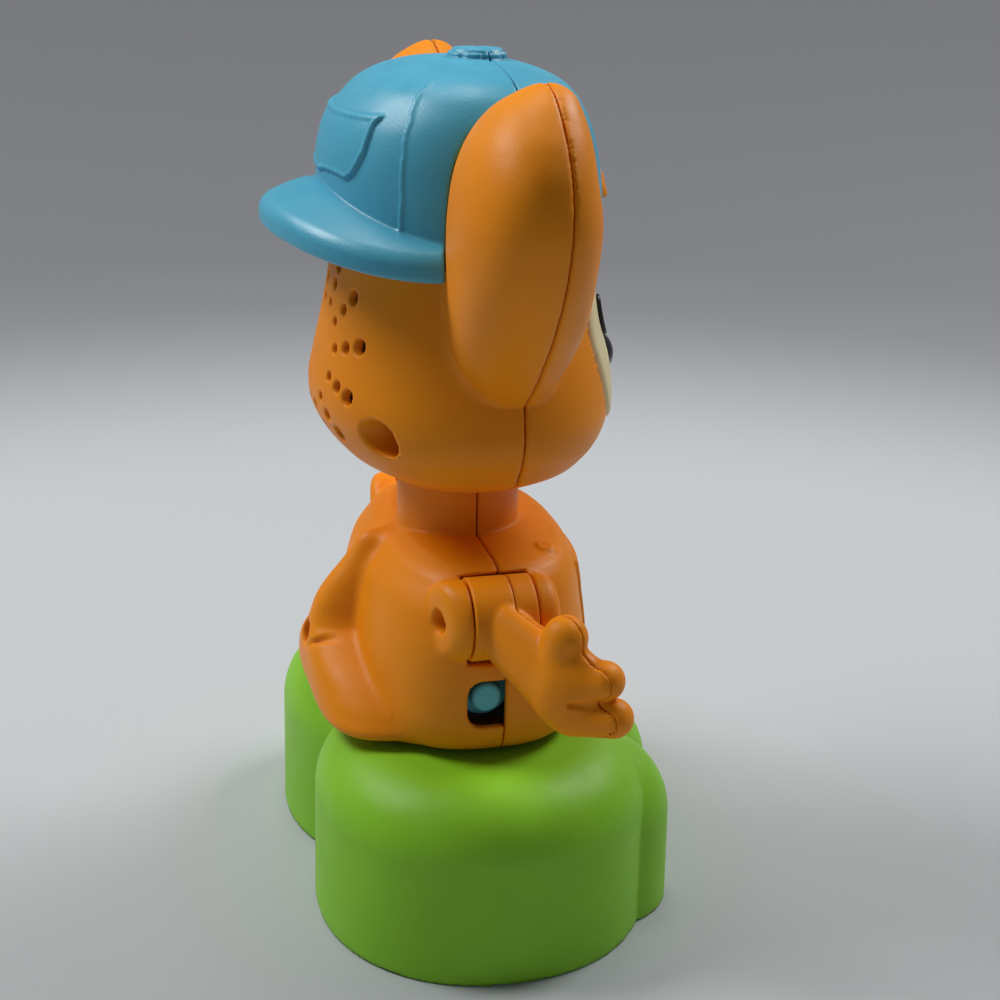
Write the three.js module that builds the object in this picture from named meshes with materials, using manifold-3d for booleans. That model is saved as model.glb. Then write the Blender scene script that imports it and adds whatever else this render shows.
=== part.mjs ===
// A puppy figure in a baseball cap worn backwards, sitting on a clover-shaped base: a musical
// learning toy of moulded shells. Its arms swing at the shoulders, a sprung plunger looks out of
// each side, the head turns on the neck, and a slide switch is on the underside.
//
// Millimetres. +Z is up, the face looks along -Y and the puppy's right arm is on the -X side.
// The origin is on the underside of the base, on the axis of the neck.

import * as THREE from "three";
import { mergeVertices } from "three/addons/utils/BufferGeometryUtils.js";
import { ConvexGeometry } from "three/addons/geometries/ConvexGeometry.js";
import Module from "manifold-3d";

const wasm = await Module();
wasm.setup();

// Driving dimensions: walls, fits and fasteners
const wall = 2.2; // moulded shells
const gap = 0.3; // between pieces that touch or clip together
const seam = 0.3; // the parting line between two half shells
const overrun = 6; // how far a cutting solid passes the face that it cuts
const screwHeadRadius = 2.9;
const screwHeadHeight = 1.7;
const screwShankRadius = 1.3;
const screwLength = 11;
const wellRadius = 3.6; // the recess that a screw head sits in
const wellWall = 1.8;
const postRadius = 3.4; // the screw posts that the wells meet

// Base: two large lobes at the sides, two smaller ones in front of them and one at the front
const baseHeight = 45;
const sideLobeHalfWidth = 41.7;
const sideLobeHalfDepth = 40.1;
const sideLobeX = 25.9;
const sideLobeRound = 15;
const kneeLobeRadius = 19.5;
const kneeLobeX = 31;
const kneeLobeY = -27;
const kneeLobeHeight = 41.7;
const frontLobeRadius = 21;
const frontLobeY = -30;
const frontLobeHeight = 39.5;
const smallLobeRound = 18;
const lobeDraft = 0.5; // the side walls lean in by this much
const plateThickness = 2.2;
const baseScrewX = 44;
const baseScrewY = 22;
const baseWellDepth = 12;

// Batteries: three AA cells side by side under a door
const cellRadius = 7.1;
const cellLength = 49.5;
const cellCapRadius = 2.7;
const cellCapHeight = 1.2;
const springContactLength = 2.6;
const contactThickness = 0.6;
const doorThickness = 2;
const doorMargin = 2.5;

// Electronics
const boardThickness = 1.6;
const boardLength = 46;
const boardWidth = 34;
const chipSize = 8;
const chipHeight = 1.4;
const harnessRadius = 1.2;
const harnessX = 8;
const harnessY = -6;

// Slide switch on the underside
const switchX = -48;
const switchY = -2;
const switchTravel = 3;
const knobLength = 6;
const knobWidth = 4;
const switchHousingHeight = 6;

// Body and neck
const bodyGap = 1.2; // the dark line between the body and the base
const bodyHeight = 44.4;
const bodyHalfWidth = 44.2;
const bodyRear = 28;
const bodyFront = 28.6;
const bodyPartingY = -1.2;
const neckRadius = 14.9;
const neckShow = 12.4; // the stretch of neck that shows below the head
const collarHeight = 4.5; // how far the neck runs on inside the head
const tailReach = 38.8; // how far the tail stands back from the neck axis
const tailHalfWidth = 36;
const tailRootY = 5;
const pawReach = 32;
const pawRadius = 7.5;
const pawX = 13;
const bibRise = 0.9;
const bibHalfWidth = 21;

// Shoulder, arm and hand
const shoulderX = 40;
const shoulderLift = 33.6; // the shoulder's axis above the body's floor
const knuckleRadius = 9.6;
const slotHalfWidth = 7.7;
const slotClearance = 0.5;
const rearBossReach = 15.6;
const frontBossReach = 13;
const pivotRadius = 2;
const pivotClearance = 0.3;
const pivotHeadRecess = 3;
const armPartingY = -2.1;
const handThickness = 12.5;
const handHeight = 24;
const handLength = 24.5;
const handX = 60.5;
const handY = -10;
const handDrop = 8.6; // the middle of the palm is this far below the shoulder
const handTurn = 0.85; // the hand points this far forward of straight out, in radians
const thumbRadius = 5.1;
const fingerRadius = 5;

// Side plungers, sprung outwards
const plungerY = 2.8;
const plungerLift = 14.6; // the plunger's axis above the body's floor
const plungerTipRadius = 3.6;
const plungerBodyRadius = 6;
const plungerBodyLength = 2.6;
const plungerStemRadius = 1.9;
const plungerReach = 42.5;
const plungerTipLength = 4;
const plungerTravel = 3;
const windowRear = 7.6;
const windowBelow = 7; // the window's edges, from the plunger's axis
const windowAbove = 4.8;
const windowCorner = 3.6;
const springWire = 0.45;
const springRadius = 3.7;
const springTurns = 4;
const guideX = 29;
const guideThickness = 2.4;
const tactSize = 5.6;

// Head, ears and face
const headHalfWidth = 43.8;
const headRear = 35.8;
const headFront = 35;
const headPartingY = -4.4;
const headHeight = 60; // from the head's floor to the cap's lower edge
const earLift = 27.3; // the ears' lower ends above the head's floor
const earHeight = 70.2;
const earReach = 74.2;
const earRootX = 29;
const earHalfDepth = 16;
const faceHalfWidth = 27;
const faceHalfHeight = 17.5;
const faceLift = 31.5; // the middle of the face above the head's floor
const faceRise = 0.7; // the face panel stands proud of the head by this much
const eyeRise = 0.8; // and the eyes stand proud of the face panel
const eyeX = 12.5;
const eyeLift = 8.5; // the eyes above the middle of the face
const eyeHalfWidth = 3.4;
const eyeHalfHeight = 5;
const noseHalfWidth = 7.5;
const noseHalfHeight = 6.5;
const noseDepth = 7;
const noseReach = 38.4;
const noseDrop = 4; // the nose below the middle of the face
const tuftReach = 35; // the lock of hair in the cap's opening
const tuftHalfWidth = 11.8;
const headScrewX = 30;
const headScrewLift = 18;
const headWellRadius = 4.3;
const headWellFloorY = 9;

// Cap
const crownHeight = 40;
const crownHalfWidth = 41;
const crownRear = 33.3;
const crownFront = 31.2;
const brimHalfWidth = 44;
const brimReach = 46.8;
const brimCentreY = 12;
const brimThickness = 6.2;
const brimRearLift = 11; // the brim's root above the cap's lower edge
const brimSideLift = 2.5;
const brimDrop = 5;
const buttonRadius = 6.8;
const buttonHeight = 3;
const badgeHalfWidth = 22.5;
const badgeRise = 0.8;
const badgeLift = 14.5;
const badgeHeight = 13.5;
const strapArchRadius = 12.5;
const strapHeight = 6.5;

// Speaker
const speakerRadius = 22;
const speakerLift = 33; // the speaker's axis above the head's floor
const speakerDepth = 13;
const speakerRimHeight = 2;
const speakerHolesDrop = 2; // the middle of its holes lies this far below that axis
const speakerInset = 11.3; // its rim lies this far in from the back of the head
const magnetRadius = 11;
const speakerPostRadius = 2.6;
const speakerHoleRadius = 1.2;
const speakerHolePitch = 4.9;
const speakerFirstHole = 12.4;
const speakerArms = 12;
const speakerHolesPerArm = 3;

// How square the ovals are: 2 is a plain ellipse
const lobeSquarenessShare = 2.15;
const bodySquarenessShare = 2.6;
const headSquarenessShare = 2.1;
const earSquarenessShare = 2.25;
const faceSquarenessShare = 2.8;

// Counts of facets
const fine = 24;
const medium = 18;
const coarse = 10;

// Places that follow from the sizes above
const bodyFloorZ = baseHeight + bodyGap;
const shoulderTopZ = bodyFloorZ + bodyHeight;
const headFloorZ = shoulderTopZ + neckShow;
const collarTopZ = headFloorZ + collarHeight;
const turntableZ = collarTopZ + gap;
const turntableHeight = 2.6;
const shoulderZ = bodyFloorZ + shoulderLift;
const plungerZ = bodyFloorZ + plungerLift;
const windowLow = plungerZ - windowBelow;
const windowHigh = plungerZ + windowAbove;
const hatLine = headFloorZ + headHeight;
const earLow = headFloorZ + earLift;
const earTop = earLow + earHeight;
const faceZ = headFloorZ + faceLift;
const eyeZ = faceZ + eyeLift;
const noseZ = faceZ - noseDrop;
const headScrewZ = headFloorZ + headScrewLift;
const brimSideZ = hatLine + brimSideLift;
const brimRearZ = hatLine + brimRearLift;
const badgeLow = hatLine + badgeLift;
const badgeHigh = badgeLow + badgeHeight;
const speakerBodyZ = headFloorZ + speakerLift;
const speakerZ = speakerBodyZ - speakerHolesDrop;
const crownTopZ = hatLine + crownHeight;
const trayLength = cellLength + cellCapHeight + springContactLength + 4 * contactThickness;
const trayWidth = 6 * cellRadius + 4 * gap;
const trayTopZ = doorThickness + 2 * cellRadius + 2 * gap + wall;
const boardZ = trayTopZ + gap;

// Solids

// The manifold of a closed three.js geometry.
function solid(geometry) {
  const bare = new THREE.BufferGeometry();
  bare.setAttribute("position", geometry.getAttribute("position").clone());
  if (geometry.index) bare.setIndex(geometry.index.clone());
  const merged = mergeVertices(bare);
  const corners = merged.index.array;
  const faces = [];
  for (let i = 0; i < corners.length; i += 3) {
    const [a, b, c] = [corners[i], corners[i + 1], corners[i + 2]];
    if (a !== b && b !== c && c !== a) faces.push(a, b, c);
  }
  return new wasm.Manifold(
    new wasm.Mesh({
      numProp: 3,
      vertProperties: merged.attributes.position.array,
      triVerts: new Uint32Array(faces),
    }),
  );
}

// The geometry of a manifold.
function geometryOf(manifold) {
  const mesh = manifold.getMesh();
  const geometry = new THREE.BufferGeometry();
  const places = new Float32Array(mesh.numVert * 3);
  for (let i = 0; i < mesh.numVert; i += 1) {
    places.set(mesh.vertProperties.subarray(i * mesh.numProp, i * mesh.numProp + 3), i * 3);
  }
  geometry.setAttribute("position", new THREE.BufferAttribute(places, 3));
  geometry.setIndex(new THREE.BufferAttribute(new Uint32Array(mesh.triVerts), 1));
  geometry.computeVertexNormals();
  return geometry;
}

const join = (first, ...others) => others.reduce((whole, piece) => whole.add(piece), first);
const cut = (first, ...others) => others.reduce((whole, piece) => whole.subtract(piece), first);
const common = (first, second) => first.intersect(second);

// A box between two values on each axis.
function box([x0, x1], [y0, y1], [z0, z1]) {
  const geometry = new THREE.BoxGeometry(x1 - x0, y1 - y0, z1 - z0);
  geometry.translate((x0 + x1) / 2, (y0 + y1) / 2, (z0 + z1) / 2);
  return solid(geometry);
}

// The vector part of a unit axis name.
const axisVector = { x: [1, 0, 0], y: [0, 1, 0], z: [0, 0, 1] };

// Turns a geometry that was drawn along +Y so that it lies along the named axis from `at`.
function lay(geometry, axis, at) {
  const turn = new THREE.Quaternion().setFromUnitVectors(
    new THREE.Vector3(0, 1, 0),
    new THREE.Vector3(...axisVector[axis]),
  );
  geometry.applyQuaternion(turn);
  geometry.translate(...at);
  return geometry;
}

// A round bar along an axis, from one value to another on it.
function rod(axis, [from, to], radius, [u, v], sides = medium) {
  const middle = (from + to) / 2;
  const at = { x: [middle, u, v], y: [u, middle, v], z: [u, v, middle] }[axis];
  return solid(lay(new THREE.CylinderGeometry(radius, radius, to - from, sides), axis, at));
}

// A turned solid: the profile's points are [radius, place along the axis].
function turned(axis, at, profile, sides = medium) {
  const points = profile.map(([r, h]) => new THREE.Vector2(r, h));
  return solid(lay(new THREE.LatheGeometry(points, sides), axis, at));
}

// A ball squashed to three radii.
function ball(at, [rx, ry, rz], sides = coarse) {
  const geometry = new THREE.SphereGeometry(1, sides, sides / 2);
  geometry.scale(rx, ry, rz);
  geometry.translate(...at);
  return solid(geometry);
}

// A closed skin through a row of rings with the same number of points, wound left-handed
// round the way from the first ring to the last when seen from the first.
function loft(rings) {
  const count = rings[0].length;
  const points = rings.flat();
  const index = [];
  for (let ring = 0; ring + 1 < rings.length; ring += 1) {
    for (let i = 0; i < count; i += 1) {
      const a = ring * count + i;
      const b = ring * count + ((i + 1) % count);
      index.push(a, b, b + count, a, b + count, a + count);
    }
  }
  for (const ring of [0, rings.length - 1]) {
    const middle = new THREE.Vector3();
    rings[ring].forEach((point) => middle.addScaledVector(point, 1 / count));
    points.push(middle);
    for (let i = 0; i < count; i += 1) {
      const a = ring * count + i;
      const b = ring * count + ((i + 1) % count);
      index.push(points.length - 1, ...(ring ? [a, b] : [b, a]));
    }
  }
  const geometry = new THREE.BufferGeometry().setFromPoints(points);
  geometry.setIndex(index);
  return solid(geometry);
}

// A level ring: an oval with its own depth to the rear and to the front, squarer as power rises.
function oval([x, y, z], halfWidth, rear, front, power, sides) {
  const squared = (value) => Math.sign(value) * Math.abs(value) ** (2 / power);
  return Array.from({ length: sides }, (_, i) => {
    const turn = (2 * Math.PI * i) / sides;
    const across = squared(Math.cos(turn));
    const along = squared(Math.sin(turn));
    return new THREE.Vector3(x + halfWidth * across, y + (along < 0 ? front : rear) * along, z);
  });
}

// A prism from an outline of [u, v] points, drawn in the plane that looks along the named axis.
function prism(axis, [from, to], outline) {
  const shape = new THREE.Shape(outline.map(([u, v]) => new THREE.Vector2(u, v)));
  const geometry = new THREE.ExtrudeGeometry(shape, { depth: to - from, bevelEnabled: false });
  geometry.translate(0, 0, from);
  if (axis === "y") geometry.rotateX(Math.PI / 2).scale(1, -1, 1);
  const flipped = axis === "y" ? turnedInsideOut(geometry) : geometry;
  return solid(flipped);
}

// The same geometry with each face wound the other way.
function turnedInsideOut(geometry) {
  const flat = geometry.index ? geometry.toNonIndexed() : geometry;
  const places = flat.getAttribute("position");
  const swapped = new Float32Array(places.array);
  for (let i = 0; i < places.count; i += 3) {
    for (let k = 0; k < 3; k += 1) {
      swapped[3 * (i + 1) + k] = places.array[3 * (i + 2) + k];
      swapped[3 * (i + 2) + k] = places.array[3 * (i + 1) + k];
    }
  }
  return new THREE.BufferGeometry().setAttribute("position", new THREE.BufferAttribute(swapped, 3));
}

// The piece on the other side of the plane X = 0.
function mirrored(manifold) {
  const geometry = geometryOf(manifold);
  geometry.scale(-1, 1, 1);
  return solid(turnedInsideOut(geometry));
}

// The half space behind or in front of a parting plane, as a large box.
const reach = 2 * (earReach + brimReach);
const behind = (y) => box([-reach, reach], [y + seam / 2, reach], [-reach, 2 * reach]);
const before = (y) => box([-reach, reach], [-reach, y - seam / 2], [-reach, 2 * reach]);

// Splits a shell at a parting plane into its rear and front halves.
function halves(shell, y) {
  return { rear: common(shell, behind(y)), front: common(shell, before(y)) };
}

// Assembly

const toy = new THREE.Group();

const colours = {
  green: { color: 0x8cc832, roughness: 0.45 },
  darkGreen: { color: 0x6aa52c, roughness: 0.5 },
  orange: { color: 0xf09632, roughness: 0.5 },
  blue: { color: 0x5ab4cd, roughness: 0.45 },
  plunger: { color: 0x54b0c6, roughness: 0.4 },
  cream: { color: 0xf0dfae, roughness: 0.5 },
  darkPlastic: { color: 0x2b2622, roughness: 0.35 },
  grey: { color: 0x8a8d90, roughness: 0.5 },
  steel: { color: 0xb9bcc0, roughness: 0.35, metalness: 1 },
  cell: { color: 0x33373c, roughness: 0.4 },
  board: { color: 0x2f6f44, roughness: 0.5 },
  wire: { color: 0xb23a2e, roughness: 0.6 },
};

function place(name, manifold, finish) {
  const mesh = new THREE.Mesh(geometryOf(manifold), new THREE.MeshStandardMaterial(colours[finish]));
  mesh.name = name;
  toy.add(mesh);
}

// A round-headed screw whose head rests at `seat` on the axis and whose shank runs on from it.
function screw(axis, at, direction, length = screwLength, shank = screwShankRadius) {
  const dome = screwHeadHeight / 3;
  const profile = [
    [0, -direction * screwHeadHeight],
    [screwHeadRadius - dome, -direction * screwHeadHeight],
    [screwHeadRadius, -direction * (screwHeadHeight - dome)],
    [screwHeadRadius, 0],
    [shank, 0],
    [shank, direction * (length - shank)],
    [0, direction * length],
  ];
  return turned(axis, at, direction > 0 ? profile : profile.reverse(), coarse);
}

// Base

// A lobe with a rounded top edge; `inset` shrinks it all round for the inside of the shell.
function lobe(x, y, halfWidth, halfDepth, top, edge, inset, floor) {
  const round = edge - inset;
  const steps = 4;
  const height = top - inset;
  const ring = (z, inward) =>
    oval([x, y, z], halfWidth - inset - inward, halfDepth - inset - inward,
      halfDepth - inset - inward, lobeSquarenessShare, inset ? medium - 2 : fine);
  const rings = [ring(floor, 0)];
  for (let i = 0; i <= steps; i += 1) {
    const turn = (i / steps) * (Math.PI / 2);
    const inward = lobeDraft + round * (1 - Math.cos(turn));
    rings.push(ring(height - round + round * Math.sin(turn), inward));
  }
  return loft(rings);
}

// All lobes together, shrunk by `inset`, from `floor` up to their tops.
function clover(inset, floor = 0) {
  const lobes = [lobe(0, frontLobeY, frontLobeRadius, frontLobeRadius,
    frontLobeHeight, smallLobeRound, inset, floor)];
  for (const side of [-1, 1]) {
    lobes.push(lobe(side * sideLobeX, 0, sideLobeHalfWidth, sideLobeHalfDepth,
      baseHeight, sideLobeRound, inset, floor));
    lobes.push(lobe(side * kneeLobeX, kneeLobeY, kneeLobeRadius, kneeLobeRadius,
      kneeLobeHeight, smallLobeRound, inset, floor));
  }
  return join(...lobes);
}

function eachBaseScrew(visit) {
  let number = 1;
  for (const [x, y] of [[-1, 1], [1, 1], [-1, -1], [1, -1]]) {
    visit(x * baseScrewX, y > 0 ? baseScrewY : kneeLobeY, number);
    number += 1;
  }
}

function makeBase() {
  let shell = cut(clover(0), clover(wall, -overrun));
  let plate = common(
    clover(wall + gap, -overrun),
    box([-reach, reach], [-reach, reach], [0, plateThickness]),
  );
  const within = clover(wall / 2, -overrun);
  const seat = baseWellDepth + gap;
  eachBaseScrew((x, y, number) => {
    const post = cut(
      common(rod("z", [seat, baseHeight], postRadius, [x, y], coarse), within),
      rod("z", [-overrun, seat + screwLength], screwShankRadius + gap, [x, y], coarse),
    );
    shell = join(shell, post);
    plate = cut(
      join(plate, rod("z", [0, baseWellDepth], wellRadius + wellWall, [x, y], coarse)),
      rod("z", [-overrun, baseWellDepth - wellWall], wellRadius, [x, y], coarse),
      rod("z", [-overrun, seat], screwShankRadius + gap, [x, y], coarse),
    );
    const head = baseWellDepth - wellWall - gap;
    place(`base_screw_${number}`, screw("z", [x, y, head], 1), "steel");
  });
  const harnessHole = rod("z", [0, baseHeight + overrun], harnessRadius + 2 * gap,
    [harnessX, harnessY], coarse);
  shell = cut(shell, harnessHole);

  // The battery tray stands on the plate and is open downwards, where the door closes it.
  const length = trayLength / 2;
  const width = trayWidth / 2;
  const tray = box([-length - wall, length + wall], [-width - wall, width + wall], [0, trayTopZ]);
  const bay = box([-length, length], [-width, width], [-overrun, trayTopZ - wall]);
  const doorway = box(
    [-length - doorMargin, length + doorMargin],
    [-width - doorMargin, width + doorMargin],
    [-overrun, doorThickness],
  );
  const sleeve = box([-length - doorMargin - wall, length + doorMargin + wall],
    [-width - doorMargin - wall, width + doorMargin + wall], [0, doorThickness + wall]);
  plate = cut(join(plate, tray, sleeve), bay, doorway);

  const slot = box(
    [switchX - knobWidth / 2 - gap, switchX + knobWidth / 2 + gap],
    [switchY - knobLength / 2 - switchTravel - gap, switchY + knobLength / 2 + switchTravel + gap],
    [-overrun, plateThickness + overrun],
  );
  place("base_shell", shell, "green");
  place("base_plate", cut(plate, slot), "darkGreen");
}

function makeBatteryBay() {
  const length = trayLength / 2;
  const width = trayWidth / 2;
  const inset = doorMargin - gap;
  const door = box([-length - inset, length + inset], [-width - inset, width + inset],
    [0, doorThickness - gap]);
  const grips = [-1, 0, 1].map((i) => box(
    [length - wall + 2 * i * gap, length - wall + (2 * i + 1) * gap],
    [-width / 2, width / 2], [-overrun, doorThickness / 4]));
  place("battery_door", cut(door, ...grips), "darkGreen");

  const axisZ = doorThickness + cellRadius + gap;
  const plateAt = length - gap - contactThickness;
  const contactTop = axisZ + cellRadius / 2;
  const contactLow = axisZ - cellRadius / 2;
  const contact = (side) => {
    const [a, b] = [side * plateAt, side * (plateAt + contactThickness)].sort((p, q) => p - q);
    return box([a, b], [-width + gap, width - gap], [contactLow, contactTop]);
  };
  const springs = [-1, 0, 1].map((row) => rod("x",
    [-plateAt - contactThickness / 2, -plateAt + springContactLength - gap], cellCapRadius,
    [row * (2 * cellRadius + gap), axisZ], coarse));
  place("battery_springs", join(contact(-1), ...springs), "steel");
  place("battery_contacts", contact(1), "steel");

  const cellFrom = -plateAt + springContactLength;
  [-1, 0, 1].forEach((row, i) => {
    const y = row * (2 * cellRadius + gap);
    const edge = cellRadius / 8;
    place(`battery_${i + 1}`, turned("x", [cellFrom, y, axisZ], [
      [0, 0], [cellRadius - edge, 0], [cellRadius, edge], [cellRadius, cellLength - edge],
      [cellRadius - edge, cellLength], [cellCapRadius, cellLength],
      [cellCapRadius, cellLength + cellCapHeight], [0, cellLength + cellCapHeight],
    ], coarse), "cell");
  });
}

function makeBaseElectronics() {
  const board = cut(
    box([-boardLength / 2, boardLength / 2], [-boardWidth / 2, boardWidth / 2],
      [boardZ, boardZ + boardThickness]),
    rod("z", [boardZ - overrun, boardZ + overrun], harnessRadius + gap, [harnessX, harnessY], coarse),
  );
  place("circuit_board", board, "board");
  const chipZ = boardZ + boardThickness + gap;
  place("sound_chip", box([-chipSize * 1.5, -chipSize / 2], [-chipSize / 2, chipSize / 2],
    [chipZ, chipZ + chipHeight]), "darkPlastic");
  place("capacitor", rod("z", [chipZ, chipZ + chipSize], chipSize / 3, [boardLength / 3, boardWidth / 4],
    coarse), "darkPlastic");

  const housingZ = plateThickness + gap;
  const housingHalf = knobLength / 2 + switchTravel + wall;
  const housing = cut(
    box([switchX - knobWidth, switchX + knobWidth], [switchY - housingHalf, switchY + housingHalf],
      [housingZ, housingZ + switchHousingHeight]),
    box([switchX - knobWidth / 2 - gap, switchX + knobWidth / 2 + gap],
      [switchY - housingHalf + wall / 2, switchY + housingHalf - wall / 2],
      [housingZ - overrun, housingZ + switchHousingHeight - wall / 2]),
  );
  place("switch_housing", housing, "darkPlastic");
  place("switch_slider", box([switchX - knobWidth / 2, switchX + knobWidth / 2],
    [switchY - knobLength / 2, switchY + knobLength / 2],
    [gap, housingZ + switchHousingHeight - wall / 2 - gap]), "darkPlastic");
}

// Body

// Each row gives the place up the body's height, then its half width, rear and front depth.
const bodyShares = [
  [0, 0.905, 0.945, 0.86],
  [0.045, 0.955, 0.98, 0.93],
  [0.13, 0.985, 1, 0.98],
  [0.29, 1, 0.985, 1],
  [0.42, 1, 0.97, 1],
  [0.58, 0.99, 0.935, 0.97],
  [0.69, 0.965, 0.895, 0.945],
  [0.785, 0.935, 0.84, 0.93],
  [0.875, 0.89, 0.73, 0.905],
  [0.93, 0.845, 0.66, 0.87],
  [0.97, 0.785, 0.55, 0.815],
  [0.99, 0.72, 0.5, 0.74],
  [1, 0.63, 0.46, 0.65],
];

function bodyForm(inset, sides) {
  return loft(bodyShares.map(([up, width, rear, front]) => {
    const z = bodyFloorZ + inset + up * (bodyHeight - 2 * inset);
    return oval([0, 0, z], bodyHalfWidth * width - inset, bodyRear * rear - inset,
      bodyFront * front - inset, bodySquarenessShare, sides);
  }));
}

// The tail lies up the back, widest at the floor and ending behind the neck.
// Each row gives the place up the body's height, then the tail's half width, its reach and how
// square it is.
const tailShares = [
  [0, 0.985, 0.955, 5.9],
  [0.04, 0.985, 0.965, 5.9],
  [0.12, 0.86, 0.985, 5.4],
  [0.165, 0.73, 0.995, 4.9],
  [0.21, 0.52, 1, 4.1],
  [0.265, 0.38, 0.995, 3.5],
  [0.355, 0.32, 0.983, 3.3],
  [0.42, 0.27, 0.965, 3.1],
  [0.49, 0.26, 0.945, 3],
  [0.57, 0.26, 0.915, 3],
  [0.653, 0.26, 0.858, 3],
  [0.766, 0.25, 0.753, 3],
  [0.851, 0.22, 0.683, 2.9],
  [0.919, 0.18, 0.63, 2.7],
  [0.975, 0.125, 0.57, 2.5],
];

function tail() {
  return loft(tailShares.map(([up, width, out, squareness]) => oval(
    [0, tailRootY, bodyFloorZ + up * bodyHeight], tailHalfWidth * width,
    tailReach * out - tailRootY, tailRootY, squareness, fine)));
}

function paws() {
  const low = bodyFloorZ + pawRadius * 0.55;
  const pair = [-1, 1].map((side) => ball([side * pawX, -pawReach + pawRadius, low],
    [pawRadius, pawRadius, pawRadius * 0.7]));
  return common(join(...pair), box([-reach, reach], [-reach, 0], [bodyFloorZ, reach]));
}

// The raised bib: a scalloped patch of the chest, standing proud of it by bibRise.
function bib() {
  const top = bodyFloorZ + 0.86 * bodyHeight;
  const low = bodyFloorZ + 0.2 * bodyHeight;
  const steps = 12;
  const outline = [[-bibHalfWidth, top], [-bibHalfWidth * 0.8, low + bibHalfWidth / 2]];
  for (let i = 0; i <= steps; i += 1) {
    const along = -1 + (2 * i) / steps;
    outline.push([bibHalfWidth * 0.7 * along, low + bibRise * Math.abs(Math.sin(3 * Math.PI * along))]);
  }
  outline.push([bibHalfWidth * 0.8, low + bibHalfWidth / 2], [bibHalfWidth, top]);
  return common(bodyForm(-bibRise, fine), prism("y", [-reach, 0], outline));
}

function shoulderRod(range, radius, side, sides = medium) {
  return rod("y", range, radius, [side * shoulderX, shoulderZ], sides);
}

// The opening beside the parting line that the plunger's end looks out of.
function plungerWindow(side) {
  const corner = windowCorner;
  const outline = [];
  const arc = (y, z, from) => {
    for (let i = 0; i <= 4; i += 1) {
      const turn = from + (i / 4) * (Math.PI / 2);
      outline.push([y + corner * Math.cos(turn), z + corner * Math.sin(turn)]);
    }
  };
  outline.push([bodyPartingY - seam, windowLow]);
  arc(windowRear - corner, windowLow + corner, -Math.PI / 2);
  arc(windowRear - corner, windowHigh - corner, 0);
  outline.push([bodyPartingY - seam, windowHigh]);
  const near = side * (guideX + wall);
  const far = side * (bodyHalfWidth + overrun);
  const [from, to] = [near, far].sort((a, b) => a - b);
  const shape = new THREE.Shape(outline.map(([y, z]) => new THREE.Vector2(y, z)));
  const geometry = new THREE.ExtrudeGeometry(shape, { depth: to - from, bevelEnabled: false });
  const frame = new THREE.Matrix4().set(0, 0, 1, from, 1, 0, 0, 0, 0, 1, 0, 0, 0, 0, 0, 1);
  geometry.applyMatrix4(frame);
  return solid(geometry);
}

const bodyScrewZ = bodyFloorZ + 0.36 * bodyHeight;
const bodyWellFloorY = tailReach - 6 * wall;

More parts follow.
